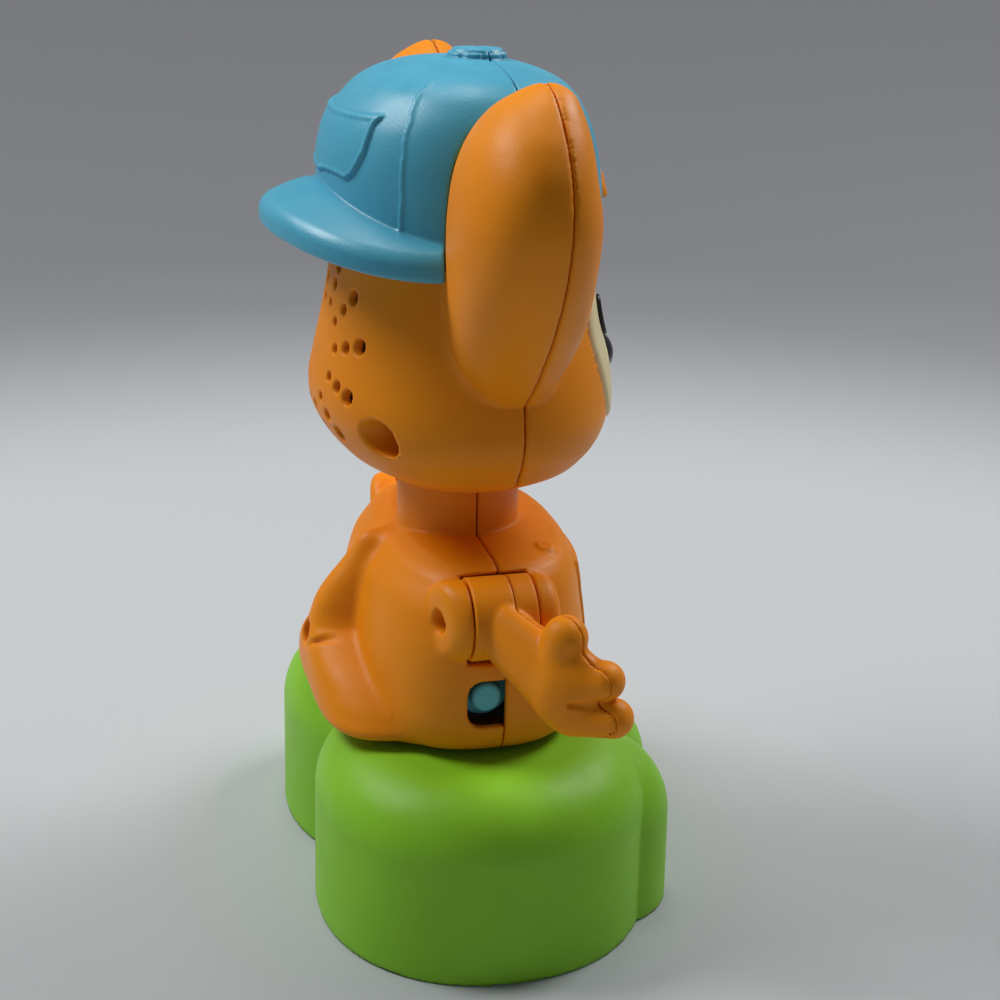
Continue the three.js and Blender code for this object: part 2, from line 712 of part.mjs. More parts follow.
function makeBody() {
  const outer = bodyForm(0, fine);
  let skin = join(outer, tail(), paws(), bib());
  const neck = rod("z", [shoulderTopZ - overrun, collarTopZ], neckRadius, [0, 0], fine);
  const neckBore = rod("z", [shoulderTopZ - overrun - wall, collarTopZ + overrun],
    neckRadius - wall, [0, 0], medium);
  const hollow = join(bodyForm(wall, medium), neckBore);
  let shell = join(cut(skin, hollow), cut(neck, neckBore));

  for (const side of [-1, 1]) {
    const bossRadius = knuckleRadius - gap;
    const nose = rearBossReach - slotHalfWidth;
    const bossRear = turned("y", [side * shoulderX, 0, shoulderZ], [
      [0, slotHalfWidth - wall], [bossRadius, slotHalfWidth - wall], [bossRadius, slotHalfWidth + nose * 0.3],
      [bossRadius * 0.9, slotHalfWidth + nose * 0.6], [bossRadius * 0.72, slotHalfWidth + nose * 0.87],
      [screwHeadRadius + wall / 2, rearBossReach], [0, rearBossReach],
    ]);
    const bossFront = shoulderRod([-frontBossReach, -slotHalfWidth + wall], bossRadius, side);
    const cup = common(outer, shoulderRod([-slotHalfWidth - wall, slotHalfWidth + wall],
      knuckleRadius + slotClearance + wall, side));
    const slot = shoulderRod([-slotHalfWidth, slotHalfWidth], knuckleRadius + slotClearance, side);
    const mouth = [side * shoulderX, side * (shoulderX + 3 * knuckleRadius)].sort((a, b) => a - b);
    const open = box(mouth, [-slotHalfWidth, slotHalfWidth],
      [shoulderZ - knuckleRadius - slotClearance, shoulderZ + knuckleRadius + slotClearance]);
    const bore = shoulderRod([-frontBossReach + wall, rearBossReach + overrun],
      pivotRadius + pivotClearance, side, coarse);
    const recess = shoulderRod([rearBossReach - pivotHeadRecess, rearBossReach + overrun],
      screwHeadRadius + gap, side, coarse);
    shell = cut(join(shell, cup, bossRear, bossFront), slot, open, bore, recess);
    shell = cut(shell, common(plungerWindow(side), behind(bodyPartingY - seam)));
  }

  // The screw at the middle of the back goes through a well into a post of the front shell.
  const well = rod("y", [bodyWellFloorY - wellWall, tailReach - wall], wellRadius + wellWall,
    [0, bodyScrewZ], coarse);
  const wellBore = rod("y", [bodyWellFloorY, tailReach + overrun], wellRadius, [0, bodyScrewZ], coarse);
  const wellHole = rod("y", [0, tailReach + overrun], screwShankRadius + gap, [0, bodyScrewZ], coarse);
  shell = cut(join(shell, well), wellBore, wellHole);
  const floorHole = rod("z", [bodyFloorZ - overrun, bodyFloorZ + overrun], harnessRadius + 2 * gap,
    [harnessX, harnessY], coarse);
  shell = cut(shell, floorHole);

  const parts = halves(shell, bodyPartingY);
  const postEnd = bodyWellFloorY - wellWall - gap;
  const post = cut(
    rod("y", [-bodyFront + wall / 2, postEnd], postRadius, [0, bodyScrewZ], coarse),
    rod("y", [postEnd - screwLength, postEnd + overrun], screwShankRadius + gap, [0, bodyScrewZ], coarse),
  );
  place("body_rear_shell", parts.rear, "orange");
  place("body_front_shell", join(parts.front, post), "orange");
  place("body_screw", screw("y", [0, bodyWellFloorY + gap, bodyScrewZ], -1), "steel");
}

// Arms

// A point of the hand: `along` runs from the wrist to the finger tips and `up` is height.
function handPoint(along, up, out = 0) {
  const dx = -Math.cos(handTurn) * along * handLength - Math.sin(handTurn) * out;
  const dy = -Math.sin(handTurn) * along * handLength + Math.cos(handTurn) * out;
  return [-handX + dx, handY + dy, shoulderZ - handDrop + up * handHeight];
}

// The points of a ball, for a hull.
function ballPoints(at, [rx, ry, rz], turn = 0, sides = coarse) {
  const geometry = new THREE.SphereGeometry(1, sides, sides / 2);
  geometry.scale(rx, ry, rz);
  geometry.rotateZ(turn);
  geometry.translate(...at);
  const places = geometry.getAttribute("position");
  return Array.from({ length: places.count }, (_, i) => new THREE.Vector3().fromBufferAttribute(places, i));
}

const hull = (...clouds) => solid(new ConvexGeometry(clouds.flat()));

// The parting surface of an arm bends at the wrist, so that it runs along the hand.
function armSide(isRear) {
  const offset = isRear ? seam / 2 : -seam / 2;
  const wristX = -(shoulderX + knuckleRadius);
  const endX = -(handX + handLength);
  const bendY = armPartingY + offset;
  const farY = bendY - Math.tan(handTurn) * (wristX - endX) * 0.62;
  const edge = isRear ? reach : -reach;
  return prism("z", [0, earTop], [[0, edge], [0, bendY], [wristX, bendY], [endX, farY], [endX, edge]]);
}

function arm() {
  const half = slotHalfWidth - gap;
  const knuckle = shoulderRod([-half, half], knuckleRadius, -1);
  const thin = handThickness / 2;
  const root = ballPoints([-shoulderX - knuckleRadius * 0.8, 0, shoulderZ - knuckleRadius * 0.25],
    [thin, half * 0.72, knuckleRadius * 0.8]);
  const heel = ballPoints(handPoint(-0.06, 0), [handLength * 0.36, thin, handHeight * 0.41], handTurn);
  const palm = ballPoints(handPoint(0.1, -0.02), [handLength * 0.3, thin * 0.95, handHeight * 0.44],
    handTurn);
  const thumb = hull(
    ballPoints(handPoint(-0.04, 0.25), [thumbRadius, thumbRadius, thumbRadius]),
    ballPoints(handPoint(-0.01, 0.47), [thumbRadius, thumbRadius, thumbRadius]),
  );
  const finger = (up, tipUp, length) => hull(
    ballPoints(handPoint(0.2, up), [fingerRadius, fingerRadius, fingerRadius]),
    ballPoints(handPoint(length, tipUp), [fingerRadius * 0.86, fingerRadius * 0.86, fingerRadius * 0.86]),
  );
  const whole = join(knuckle, hull(root, heel), hull(heel, palm), thumb, finger(0.08, 0.14, 0.4),
    finger(-0.23, -0.21, 0.5));
  const bore = shoulderRod([-2 * half, 2 * half], pivotRadius + pivotClearance, -1, coarse);
  const swept = knuckleRadius + slotClearance;
  const besideRear = shoulderRod([half, rearBossReach + gap], swept, -1);
  const besideFront = shoulderRod([-frontBossReach - gap, -half], swept, -1);
  return cut(whole, bore, besideRear, besideFront);
}

function makeArms() {
  const whole = arm();
  const rear = common(whole, armSide(true));
  const front = common(whole, armSide(false));
  const pivotSeat = rearBossReach - pivotHeadRecess + gap;
  const pivotLength = pivotSeat + frontBossReach - wall - gap;
  for (const [name, side] of [["right", -1], ["left", 1]]) {
    const turnedTo = (piece) => (side < 0 ? piece : mirrored(piece));
    place(`${name}_arm_rear_half`, turnedTo(rear), "orange");
    place(`${name}_arm_front_half`, turnedTo(front), "orange");
    place(`${name}_shoulder_screw`,
      screw("y", [side * shoulderX, pivotSeat, shoulderZ], -1, pivotLength, pivotRadius), "steel");
  }
}

// Plungers, their springs and the switches behind them

// One unbroken coil round the X axis, from one place to another.
function coil(from, to, radius, wire, turns) {
  const curve = new THREE.Curve();
  curve.getPoint = (t) => {
    const turn = 2 * Math.PI * turns * t;
    return new THREE.Vector3(from + (to - from) * t, plungerY + radius * Math.cos(turn),
      plungerZ + radius * Math.sin(turn));
  };
  const section = new THREE.Shape(Array.from({ length: 5 }, (_, i) => {
    const turn = (2 * Math.PI * i) / 5;
    return new THREE.Vector2(wire * Math.cos(turn), wire * Math.sin(turn));
  }));
  return solid(new THREE.ExtrudeGeometry(section, { steps: turns * 8, extrudePath: curve }));
}

function makePlungers() {
  const tipBack = plungerReach - plungerTipLength;
  const bodyBack = tipBack - plungerBodyLength;
  const guideFar = guideX - guideThickness;
  const stemEnd = guideFar - plungerTravel - gap;
  const switchFace = stemEnd - plungerTravel - gap;
  const dome = plungerTipRadius / 5;
  const plunger = turned("x", [0, plungerY, plungerZ], [
    [0, stemEnd], [plungerStemRadius, stemEnd], [plungerStemRadius, bodyBack],
    [plungerBodyRadius, bodyBack], [plungerBodyRadius, tipBack], [plungerTipRadius, tipBack],
    [plungerTipRadius, plungerReach - dome], [plungerTipRadius - dome, plungerReach], [0, plungerReach],
  ], coarse + 4);
  const springFrom = guideX + 2 * springWire + gap;
  const springTo = bodyBack - 2 * springWire - gap;
  const spring = coil(springFrom, springTo, springRadius - springWire, springWire, springTurns);
  const tact = box([switchFace - tactSize, switchFace],
    [plungerY - tactSize / 2, plungerY + tactSize / 2], [plungerZ - tactSize / 2, plungerZ + tactSize / 2]);
  for (const [name, side] of [["right", -1], ["left", 1]]) {
    const turnedTo = (piece) => (side > 0 ? piece : mirrored(piece));
    place(`${name}_plunger`, turnedTo(plunger), "plunger");
    place(`${name}_plunger_spring`, turnedTo(spring), "steel");
    place(`${name}_touch_switch`, turnedTo(tact), "darkPlastic");
  }

  // The bracket lies on the body's floor and holds both plungers and the switch board.
  const barZ = bodyFloorZ + wall + gap;
  const barTop = barZ + guideThickness;
  const half = plungerBodyRadius + wall;
  const bracketFrom = plungerY - half;
  const bracketTo = plungerY + half;
  const uprights = [-1, 1].map((side) => {
    const [a, b] = [side * guideFar, side * guideX].sort((p, q) => p - q);
    return cut(
      box([a, b], [bracketFrom, bracketTo], [barZ, plungerZ + half]),
      rod("x", [a - overrun, b + overrun], plungerStemRadius + gap, [plungerY, plungerZ], coarse),
    );
  });
  const boardY = plungerY + tactSize / 2 + gap;
  const bar = box([-guideX, guideX], [bracketFrom, boardY + boardThickness + wall], [barZ, barTop]);
  const harness = rod("z", [barZ - overrun, barTop + overrun], harnessRadius + gap,
    [harnessX, harnessY], coarse);
  place("plunger_bracket", cut(join(bar, ...uprights), harness), "grey");
  place("switch_board", cut(
    box([-switchFace, switchFace], [boardY, boardY + boardThickness],
      [barTop + gap, plungerZ + tactSize / 2 + wall]),
    rod("y", [boardY - overrun, boardY + overrun], postRadius + gap, [0, bodyScrewZ], coarse),
  ), "board");
}

// Head

// Each row gives the place from the head's floor to the hat line, then half width, rear and
// front depth.
const headShares = [
  [0, 0.445, 0.46, 0.57],
  [0.02, 0.525, 0.52, 0.63],
  [0.047, 0.628, 0.575, 0.68],
  [0.075, 0.72, 0.648, 0.73],
  [0.117, 0.847, 0.762, 0.8],
  [0.167, 0.906, 0.85, 0.885],
  [0.225, 0.964, 0.925, 0.94],
  [0.3, 1, 0.986, 0.98],
  [0.383, 0.995, 1, 0.99],
  [0.5, 0.959, 0.966, 0.965],
  [0.65, 0.905, 0.911, 0.89],
  [0.833, 0.868, 0.857, 0.84],
];

// Each row gives the place up the crown's height, then half width, rear and front depth.
const crownShares = [
  [0, 1.012, 1.006, 1.01],
  [0.3, 1, 1, 0.987],
  [0.5, 0.973, 0.967, 0.942],
  [0.625, 0.932, 0.919, 0.891],
  [0.7375, 0.868, 0.829, 0.817],
  [0.825, 0.788, 0.736, 0.721],
  [0.9, 0.671, 0.577, 0.561],
  [0.96, 0.48, 0.38, 0.36],
  [1, 0.12, 0.1, 0.1],
];

function crownRings(inset, sides, from = 0) {
  return crownShares.slice(from).map(([up, width, rear, front]) => {
    const shrink = inset * Math.min(1, 1.6 * width);
    const lowered = inset > 0 && up > 0.5 ? inset * (2 * up - 1) : 0;
    return oval([0, 0, hatLine + up * crownHeight - lowered], crownHalfWidth * width - shrink,
      crownRear * rear - shrink, crownFront * front - shrink, headSquarenessShare, sides);
  });
}

// The head without its ears: open ground below the hat line, and the cap's own form above it.
function headForm(inset, sides) {
  const lower = headShares.map(([up, width, rear, front]) => {
    const lift = inset * Math.max(0, 1 - 5 * up);
    return oval([0, 0, headFloorZ + lift + up * (hatLine - headFloorZ)], headHalfWidth * width - inset,
      headRear * rear - inset, headFront * front - inset, headSquarenessShare, sides);
  });
  return loft([...lower, ...crownRings(wall + gap + inset, sides, 1)]);
}

// Each row: place up the ear, outer and inner reach, half depth, and the crest's place in Y.
const earShares = [
  [0, 0.575, 0.49, 0.16, 0.78],
  [0.06, 0.645, 0.44, 0.54, 0.45],
  [0.16, 0.745, 0.41, 0.82, 0.2],
  [0.3, 0.86, 0.39, 0.965, 0.1],
  [0.46, 0.955, 0.39, 1, 0],
  [0.62, 0.998, 0.39, 1, 0],
  [0.75, 0.98, 0.4, 0.9, 0.03],
  [0.84, 0.93, 0.45, 0.79, 0.2],
  [0.92, 0.855, 0.52, 0.6, 0.5],
  [0.97, 0.79, 0.6, 0.38, 0.85],
  [1, 0.72, 0.67, 0.12, 1],
];

function ear(side, swell, sides) {
  const rows = swell < 0 ? earShares.slice(1, -2) : earShares;
  return loft(rows.map(([up, outer, inner, depth, crest]) => {
    const z = earLow + up * (earTop - earLow) + (up === 0 ? -swell : 0) + (up === 1 ? swell : 0);
    const outX = earReach * outer + swell;
    const inX = (up < 0.8 ? earRootX : earReach * inner) - swell;
    const deep = earHalfDepth * depth + swell;
    const middle = [(side * (outX + inX)) / 2, headPartingY * crest, z];
    return oval(middle, (outX - inX) / 2, deep, deep, earSquarenessShare, sides);
  }));
}

// An oval seen from the front, as a prism from far in front of the toy to the neck's axis.
function frontOval(x, z, halfWidth, halfHeight, powerShare, steps) {
  const squared = (value) => Math.sign(value) * Math.abs(value) ** (2 / powerShare);
  const outline = Array.from({ length: steps }, (_, i) => {
    const turn = (2 * Math.PI * i) / steps;
    return [x + halfWidth * squared(Math.cos(turn)), z + halfHeight * squared(Math.sin(turn))];
  });
  return prism("y", [-reach, 0], outline);
}

// The patch of the head that the face panel fills.
const facePatch = (grow) =>
  frontOval(0, faceZ, faceHalfWidth + grow, faceHalfHeight + grow, faceSquarenessShare, fine);

// Each speaker hole as [x, z, radius]: short arms of holes that grow outwards.
function speakerHoles() {
  const holes = [];
  for (let arm = 0; arm < speakerArms; arm += 1) {
    const turn = (2 * Math.PI * (arm + 0.5)) / speakerArms;
    for (let i = 0; i < speakerHolesPerArm; i += 1) {
      const out = speakerFirstHole + i * speakerHolePitch;
      holes.push([out * Math.cos(turn), speakerZ + out * Math.sin(turn), speakerHoleRadius * (1 + 0.14 * i)]);
    }
  }
  return holes;
}

const speakerSeatY = headRear - speakerInset;

function makeHead() {
  const outer = headForm(0, fine);
  const ears = [ear(-1, 0, medium), ear(1, 0, medium)];
  const skin = join(outer, ...ears);
  const hollows = [headForm(wall, medium), ear(-1, -wall, medium - 4), ear(1, -wall, medium - 4)];
  let shell = cut(skin, ...hollows);

  // The neck passes a collar with a groove for the turntable.
  const socketRadius = neckRadius + 4 * wall;
  const grooveRadius = neckRadius + 2 * wall;
  const socketTop = turntableZ + turntableHeight + gap + wall;
  const socket = common(outer, rod("z", [headFloorZ, socketTop], socketRadius, [0, 0], medium));
  const groove = rod("z", [collarTopZ, turntableZ + turntableHeight + gap], grooveRadius + gap,
    [0, 0], medium);
  const through = rod("z", [headFloorZ - overrun, collarTopZ + overrun], neckRadius + gap, [0, 0], fine);
  const wireWay = rod("z", [collarTopZ, socketTop + overrun], neckRadius - wall, [0, 0], medium);
  const speakerRoom = rod("y", [speakerSeatY - speakerDepth, speakerSeatY - gap], speakerRadius + gap,
    [0, speakerBodyZ], medium);
  shell = cut(join(shell, socket), groove, through, wireWay, speakerRoom);
  place("neck_turntable", cut(
    rod("z", [turntableZ, turntableZ + turntableHeight], grooveRadius, [0, 0], medium),
    rod("z", [turntableZ - overrun, turntableZ + overrun], neckRadius - wall, [0, 0], medium),
  ), "grey");

  // Four posts for the speaker's rim, and the holes in front of it
  const postOut = speakerRadius - speakerPostRadius;
  for (const [x, z] of [[postOut, 0], [-postOut, 0], [0, postOut], [0, -postOut]]) {
    const post = rod("y", [speakerSeatY, headRear], speakerPostRadius, [x, speakerBodyZ + z], coarse);
    shell = join(shell, common(post, outer));
  }
  for (const [x, z, radius] of speakerHoles()) {
    shell = cut(shell, rod("y", [speakerSeatY, headRear + overrun], radius, [x, z], coarse / 2));
  }

  // Two deep screw wells low at the back
  const posts = [];
  for (const side of [-1, 1]) {
    const at = [side * headScrewX, headScrewZ];
    const well = common(outer, rod("y", [headWellFloorY - wellWall, headRear],
      headWellRadius + wellWall, at, coarse));
    shell = cut(join(shell, well),
      rod("y", [headWellFloorY, headRear + overrun], headWellRadius, at, coarse),
      rod("y", [0, headRear], screwShankRadius + gap, at, coarse));
    const postEnd = headWellFloorY - wellWall - gap;
    posts.push(cut(
      common(outer, rod("y", [-headFront, postEnd], postRadius, at, coarse)),
      rod("y", [postEnd - screwLength, postEnd + overrun], screwShankRadius + gap, at, coarse),
    ));
    place(`${side < 0 ? "right" : "left"}_head_screw`,
      screw("y", [at[0], headWellFloorY + gap, at[1]], -1), "steel");
  }

  // The lock of hair that shows through the cap's opening
  const tuft = common(
    ball([0, tuftHalfWidth - tuftReach, hatLine + strapHeight],
      [tuftHalfWidth, tuftHalfWidth, tuftHalfWidth]),
    box([-reach, reach], [-reach, -crownFront / 2], [hatLine + strapHeight + gap, reach * 2]),
  );
  const parts = halves(shell, headPartingY);
  const pocket = cut(facePatch(gap), headForm(wall / 2 + gap, fine));
  place("head_rear_shell", parts.rear, "orange");
  place("head_front_shell", join(cut(parts.front, pocket), tuft, ...posts), "orange");

  // The face: a raised panel in a pocket of the front shell, with eyes and a nose on it
  const proud = (rise) => headForm(-faceRise - rise, fine);
  place("face_panel", cut(common(proud(0), facePatch(0)), headForm(wall / 2, fine)), "cream");
  const nose = cut(
    ball([0, noseDepth - noseReach, noseZ], [noseHalfWidth, noseDepth, noseHalfHeight], medium),
    proud(gap),
  );
  place("nose", nose, "darkPlastic");
  for (const side of [-1, 1]) {
    const lens = frontOval(side * eyeX, eyeZ, eyeHalfWidth, eyeHalfHeight, 2, medium);
    const eye = cut(common(proud(eyeRise + gap), lens), proud(gap));
    place(`${side < 0 ? "right" : "left"}_eye`, eye, "darkPlastic");
  }
}

function makeSpeaker() {
  const face = speakerSeatY - gap;
  const rimBack = face - speakerRimHeight;
  const back = face - speakerDepth;
  place("speaker", turned("y", [0, 0, speakerBodyZ], [
    [0, back], [magnetRadius, back], [magnetRadius, back + speakerDepth / 2],
    [speakerRadius - 3 * wall, rimBack], [speakerRadius, rimBack], [speakerRadius, face],
    [speakerRadius - wall, face], [magnetRadius / 2, face - speakerRimHeight], [0, face - speakerRimHeight],
  ], medium), "darkPlastic");
  place("speaker_clamp", cut(
    rod("y", [rimBack - gap - wall, rimBack - gap], speakerRadius, [0, speakerBodyZ], medium),
    rod("y", [rimBack - overrun, rimBack + overrun], speakerRadius - 2 * wall, [0, speakerBodyZ], medium),
  ), "grey");
}

function makeWires() {
  const tube = (points, steps) => {
    const curve = new THREE.CatmullRomCurve3(points.map((p) => new THREE.Vector3(...p)));
    const section = new THREE.Shape(Array.from({ length: 6 }, (_, i) => {
      const turn = (2 * Math.PI * i) / 6;
      return new THREE.Vector2(harnessRadius * Math.cos(turn), harnessRadius * Math.sin(turn));
    }));
    return solid(new THREE.ExtrudeGeometry(section, { steps, extrudePath: curve }));
  };
  const low = boardZ + boardThickness / 2;
  const top = turntableZ + turntableHeight;
  place("body_wire", tube([
    [harnessX, harnessY, low], [harnessX, harnessY, bodyFloorZ],
    [harnessX, harnessY, shoulderTopZ - neckShow],
    [harnessX / 2, harnessY / 2, headFloorZ - neckShow / 2],
    [0, 0, headFloorZ], [0, 0, collarTopZ], [0, 0, top],
  ], 18), "wire");
  const lead = speakerSeatY - gap - speakerDepth;
  place("speaker_wire", tube([
    [0, 0, top + 2 * gap], [0, 0, top + wall], [0, 0, (top + speakerBodyZ) / 2],
    [0, lead / 2, speakerBodyZ], [0, lead - gap, speakerBodyZ],
  ], 12), "wire");
}

// Cap

// The brim runs round the rear: each section is a rounded bar from the crown to the edge.
function brim() {
  const steps = 18;
  const from = Math.PI * 0.03;
  const rings = [];
  for (let i = 0; i <= steps; i += 1) {
    const turn = from + (i / steps) * (Math.PI - 2 * from);
    const [c, s] = [Math.cos(turn), Math.sin(turn)];
    const inner = new THREE.Vector2((crownHalfWidth - wall / 2) * c, (crownRear - wall / 2) * s);
    const outer = new THREE.Vector2(brimHalfWidth * c, brimCentreY + (brimReach - brimCentreY) * s);
    const top = brimSideZ + (brimRearZ - brimSideZ) * s ** 1.5;
    const low = top - brimDrop * (0.4 + 0.6 * s);
    const half = brimThickness / 2;
    const at = (share, z) => new THREE.Vector3(
      inner.x + (outer.x - inner.x) * share, inner.y + (outer.y - inner.y) * share, z);
    rings.push([
      at(0, top - brimThickness * 0.8), at(0.85, low - brimThickness), at(0.97, low - brimThickness * 0.86),
      at(1, low - half), at(0.97, low - brimThickness * 0.14), at(0.85, low + brimDrop * 0.12),
      at(0.4, top - brimDrop * 0.3), at(0, top),
    ].reverse());
  }
  return loft(rings);
}

function badge() {
  const middle = (badgeLow + badgeHigh) / 2;
  const steps = 12;
  const outline = [[badgeHalfWidth, badgeHigh], [-badgeHalfWidth, badgeHigh],
    [-badgeHalfWidth * 0.95, middle]];
  for (let i = 0; i <= steps; i += 1) {
    const along = -1 + (2 * i) / steps;
    outline.push([badgeHalfWidth * 0.85 * along,
      badgeLow + badgeRise * Math.abs(Math.sin(2 * Math.PI * along))]);
  }
  outline.push([badgeHalfWidth * 0.95, middle]);
  return prism("y", [0, reach], outline);
}

function makeCap() {
  const crown = loft(crownRings(0, fine));
  const raised = common(loft(crownRings(-badgeRise, fine)), badge());
  const edge = buttonHeight / 3;
  const button = turned("z", [0, headPartingY, 0], [
    [0, crownTopZ - 2 * wall], [buttonRadius, crownTopZ - 2 * wall], [buttonRadius, crownTopZ - edge / 2],
    [buttonRadius - edge, crownTopZ + edge], [buttonRadius / 2, crownTopZ + edge * 1.6],
    [0, crownTopZ + edge * 1.8],
  ], medium);
  const ears = [ear(-1, gap, medium), ear(1, gap, medium)];
  const whole = cut(join(crown, raised, brim(), button), headForm(-gap, fine), ...ears);
  const parts = halves(whole, headPartingY);
  const arch = cut(
    rod("y", [-reach, -crownFront / 3], strapArchRadius, [0, hatLine + strapHeight], medium),
    box([-reach, reach], [-reach, reach], [0, hatLine + strapHeight]),
  );
  place("cap_rear_shell", parts.rear, "blue");
  place("cap_front_shell", cut(parts.front, arch), "blue");
}

makeBase();
makeBatteryBay();
makeBaseElectronics();
makeBody();
makeArms();
makePlungers();
makeHead();
makeSpeaker();
makeWires();
makeCap();

export default toy;
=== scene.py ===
"""The looks of a musical learning toy: a puppy figure in a backwards cap on a clover-shaped base.

Sizes are in millimetres here and become metres where a mesh is made. The moulded shells are solids
described by their distance to the surface, cut and blended as a moulder would, then meshed.
"""

import logging
import math
from dataclasses import dataclass, field
from enum import Enum
from functools import reduce
from itertools import product
from typing import Callable, Sequence

import bpy
import numpy as np
from bpy.types import NodeSocket, NodeTree
from mathutils import Matrix, Vector


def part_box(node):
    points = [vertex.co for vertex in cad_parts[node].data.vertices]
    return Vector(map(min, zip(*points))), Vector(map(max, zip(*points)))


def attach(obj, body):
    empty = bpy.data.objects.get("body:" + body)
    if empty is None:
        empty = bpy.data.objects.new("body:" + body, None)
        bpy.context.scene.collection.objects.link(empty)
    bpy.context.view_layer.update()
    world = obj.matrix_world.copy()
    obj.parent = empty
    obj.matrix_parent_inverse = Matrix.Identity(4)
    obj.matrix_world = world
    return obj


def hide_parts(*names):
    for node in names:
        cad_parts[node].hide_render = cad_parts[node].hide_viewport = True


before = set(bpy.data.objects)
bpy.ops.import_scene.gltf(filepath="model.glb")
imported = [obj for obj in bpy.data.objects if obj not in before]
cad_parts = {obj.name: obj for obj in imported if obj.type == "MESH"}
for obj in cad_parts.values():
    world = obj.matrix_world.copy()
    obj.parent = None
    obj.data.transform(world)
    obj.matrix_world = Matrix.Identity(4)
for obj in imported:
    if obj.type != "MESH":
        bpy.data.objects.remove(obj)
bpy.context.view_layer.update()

MM = 0.001
LOG = logging.getLogger("toy")

GENTLEST = 0.2  # a field that rises less than this is not levelled further

Array = np.ndarray
Solid = Callable[[Array], Array]
Vec = tuple[float, float, float]


class Side(Enum):
    """The toy's two sides, by the sign of their X."""

    RIGHT = -1
    LEFT = 1

    @property
    def label(self) -> str:
        """The side's name as the nodes carry it."""
        return self.name.lower()


# Distances and the solids that they describe


def blend_min(a: Array, b: Array, k: float) -> Array:
    """The lower of two distances, with a fillet where they differ by less than k."""
    if k <= 0:
        return np.minimum(a, b)
    near = np.maximum(k - np.abs(a - b), 0) / k
    return np.minimum(a, b) - near * near * (k / 4)


def blend_max(a: Array, b: Array, k: float) -> Array:
    """The higher of two distances, with the edge rounded over a width of about k."""
    return -blend_min(-a, -b, k)


def combined(blend: Callable, solids: Sequence[Solid], k: float) -> Solid:
    """Folds the distances of several solids into one."""
    return lambda p: reduce(lambda whole, other: blend(whole, other(p), k), solids[1:], solids[0](p))


def joined(*solids: Solid, k: float = 0.0) -> Solid:
    """All solids as one, with fillets of size k."""
    return combined(blend_min, solids, k)


def shared(*solids: Solid, k: float = 0.0) -> Solid:
    """What all solids have in common, with edges rounded by k."""
    return combined(blend_max, solids, k)


def without(first: Solid, *cutters: Solid, k: float = 0.0) -> Solid:
    """A solid less its cutters, with the cut edges rounded by k."""
    return combined(lambda whole, cutter, k: blend_max(whole, -cutter, k), (first, *cutters), k)


def grown(solid: Solid, by: float) -> Solid:
    """A solid with its surface moved outwards."""
    return lambda p: solid(p) - by


def on_both_sides(solid: Solid) -> Solid:
    """A solid of the left side together with its twin on the right."""
    return lambda p: solid(np.stack([np.abs(p[0]), p[1], p[2]]))


def slope_of(solid: Solid, p: Array, value: Array, reach: float) -> Array:
    """How fast a field rises along each axis."""
    rows = []
    for axis in range(3):
        q = p.copy()
        q[axis] += reach
        rows.append((solid(q) - value) / reach)
    return np.stack(rows)


def levelled(solid: Solid, reach: float = 0.05, steepest: float = 30.0) -> Solid:
    """Turns a rough field into millimetres by dividing it by its own slope.

    Args:
        solid: The rough field, zero on the surface.
        reach: The step of the slope, in millimetres.
        steepest: The steepest slope that is levelled in full.
    """
    def distance(p: Array) -> Array:
        value = solid(p)
        square = (slope_of(solid, p, value, reach) ** 2).sum(0)
        return value / np.sqrt(np.clip(square, GENTLEST ** 2, steepest ** 2))
    return distance


def ball(at: Vec, radii: Vec | float) -> Solid:
    """A ball or, with three radii, an ellipsoid."""
    size = np.array([radii] * 3 if isinstance(radii, (int, float)) else radii, float)[:, None]
    middle = np.array(at, float)[:, None]

    def distance(p: Array) -> Array:
        q = (p - middle) / size
        k0 = np.sqrt((q * q).sum(0))
        k1 = np.sqrt(((q / size) ** 2).sum(0))
        return k0 * (k0 - 1) / np.maximum(k1, 1e-6)
    return distance


def turned_ball(at: Vec, radii: Vec, turn: float) -> Solid:
    """An ellipsoid turned about the vertical by an angle in radians."""
    c, s = math.cos(turn), math.sin(turn)
    inner = ball((0.0, 0.0, 0.0), radii)

    def distance(p: Array) -> Array:
        x, y, z = p[0] - at[0], p[1] - at[1], p[2] - at[2]
        return inner(np.stack([c * x + s * y, c * y - s * x, z]))
    return distance


def squeezed(solid: Solid, share: float) -> Solid:
    """A solid drawn out along Z, by one over the share, from z = 0."""
    return levelled(lambda p: solid(np.stack([p[0], p[1], p[2] * share])))


def capsule(a: Vec, b: Vec, ra: float, rb: float) -> Solid:
    """A bar with round ends that tapers from radius ra to rb."""
    start = np.array(a, float)[:, None]
    run = np.array(b, float)[:, None] - start
    length2 = float((run * run).sum())

    def distance(p: Array) -> Array:
        q = p - start
        share = np.clip((q * run).sum(0) / length2, 0, 1)
        return np.sqrt(((q - share * run) ** 2).sum(0)) - (ra + (rb - ra) * share)
    return distance


def oval(x: Array, y: Array, power: float | Array) -> Array:
    """How far out a point lies in an oval of half width 1; power 2 is a circle, more is squarer."""
    return (np.abs(x) ** power + np.abs(y) ** power) ** (1 / power)


def rounded_pair(d1: Array, d2: Array, edge: float) -> Array:
    """The distance to a corner between two faces, rounded to a radius."""
    q1, q2 = d1 + edge, d2 + edge
    return np.minimum(np.maximum(q1, q2), 0) + np.hypot(np.maximum(q1, 0), np.maximum(q2, 0)) - edge


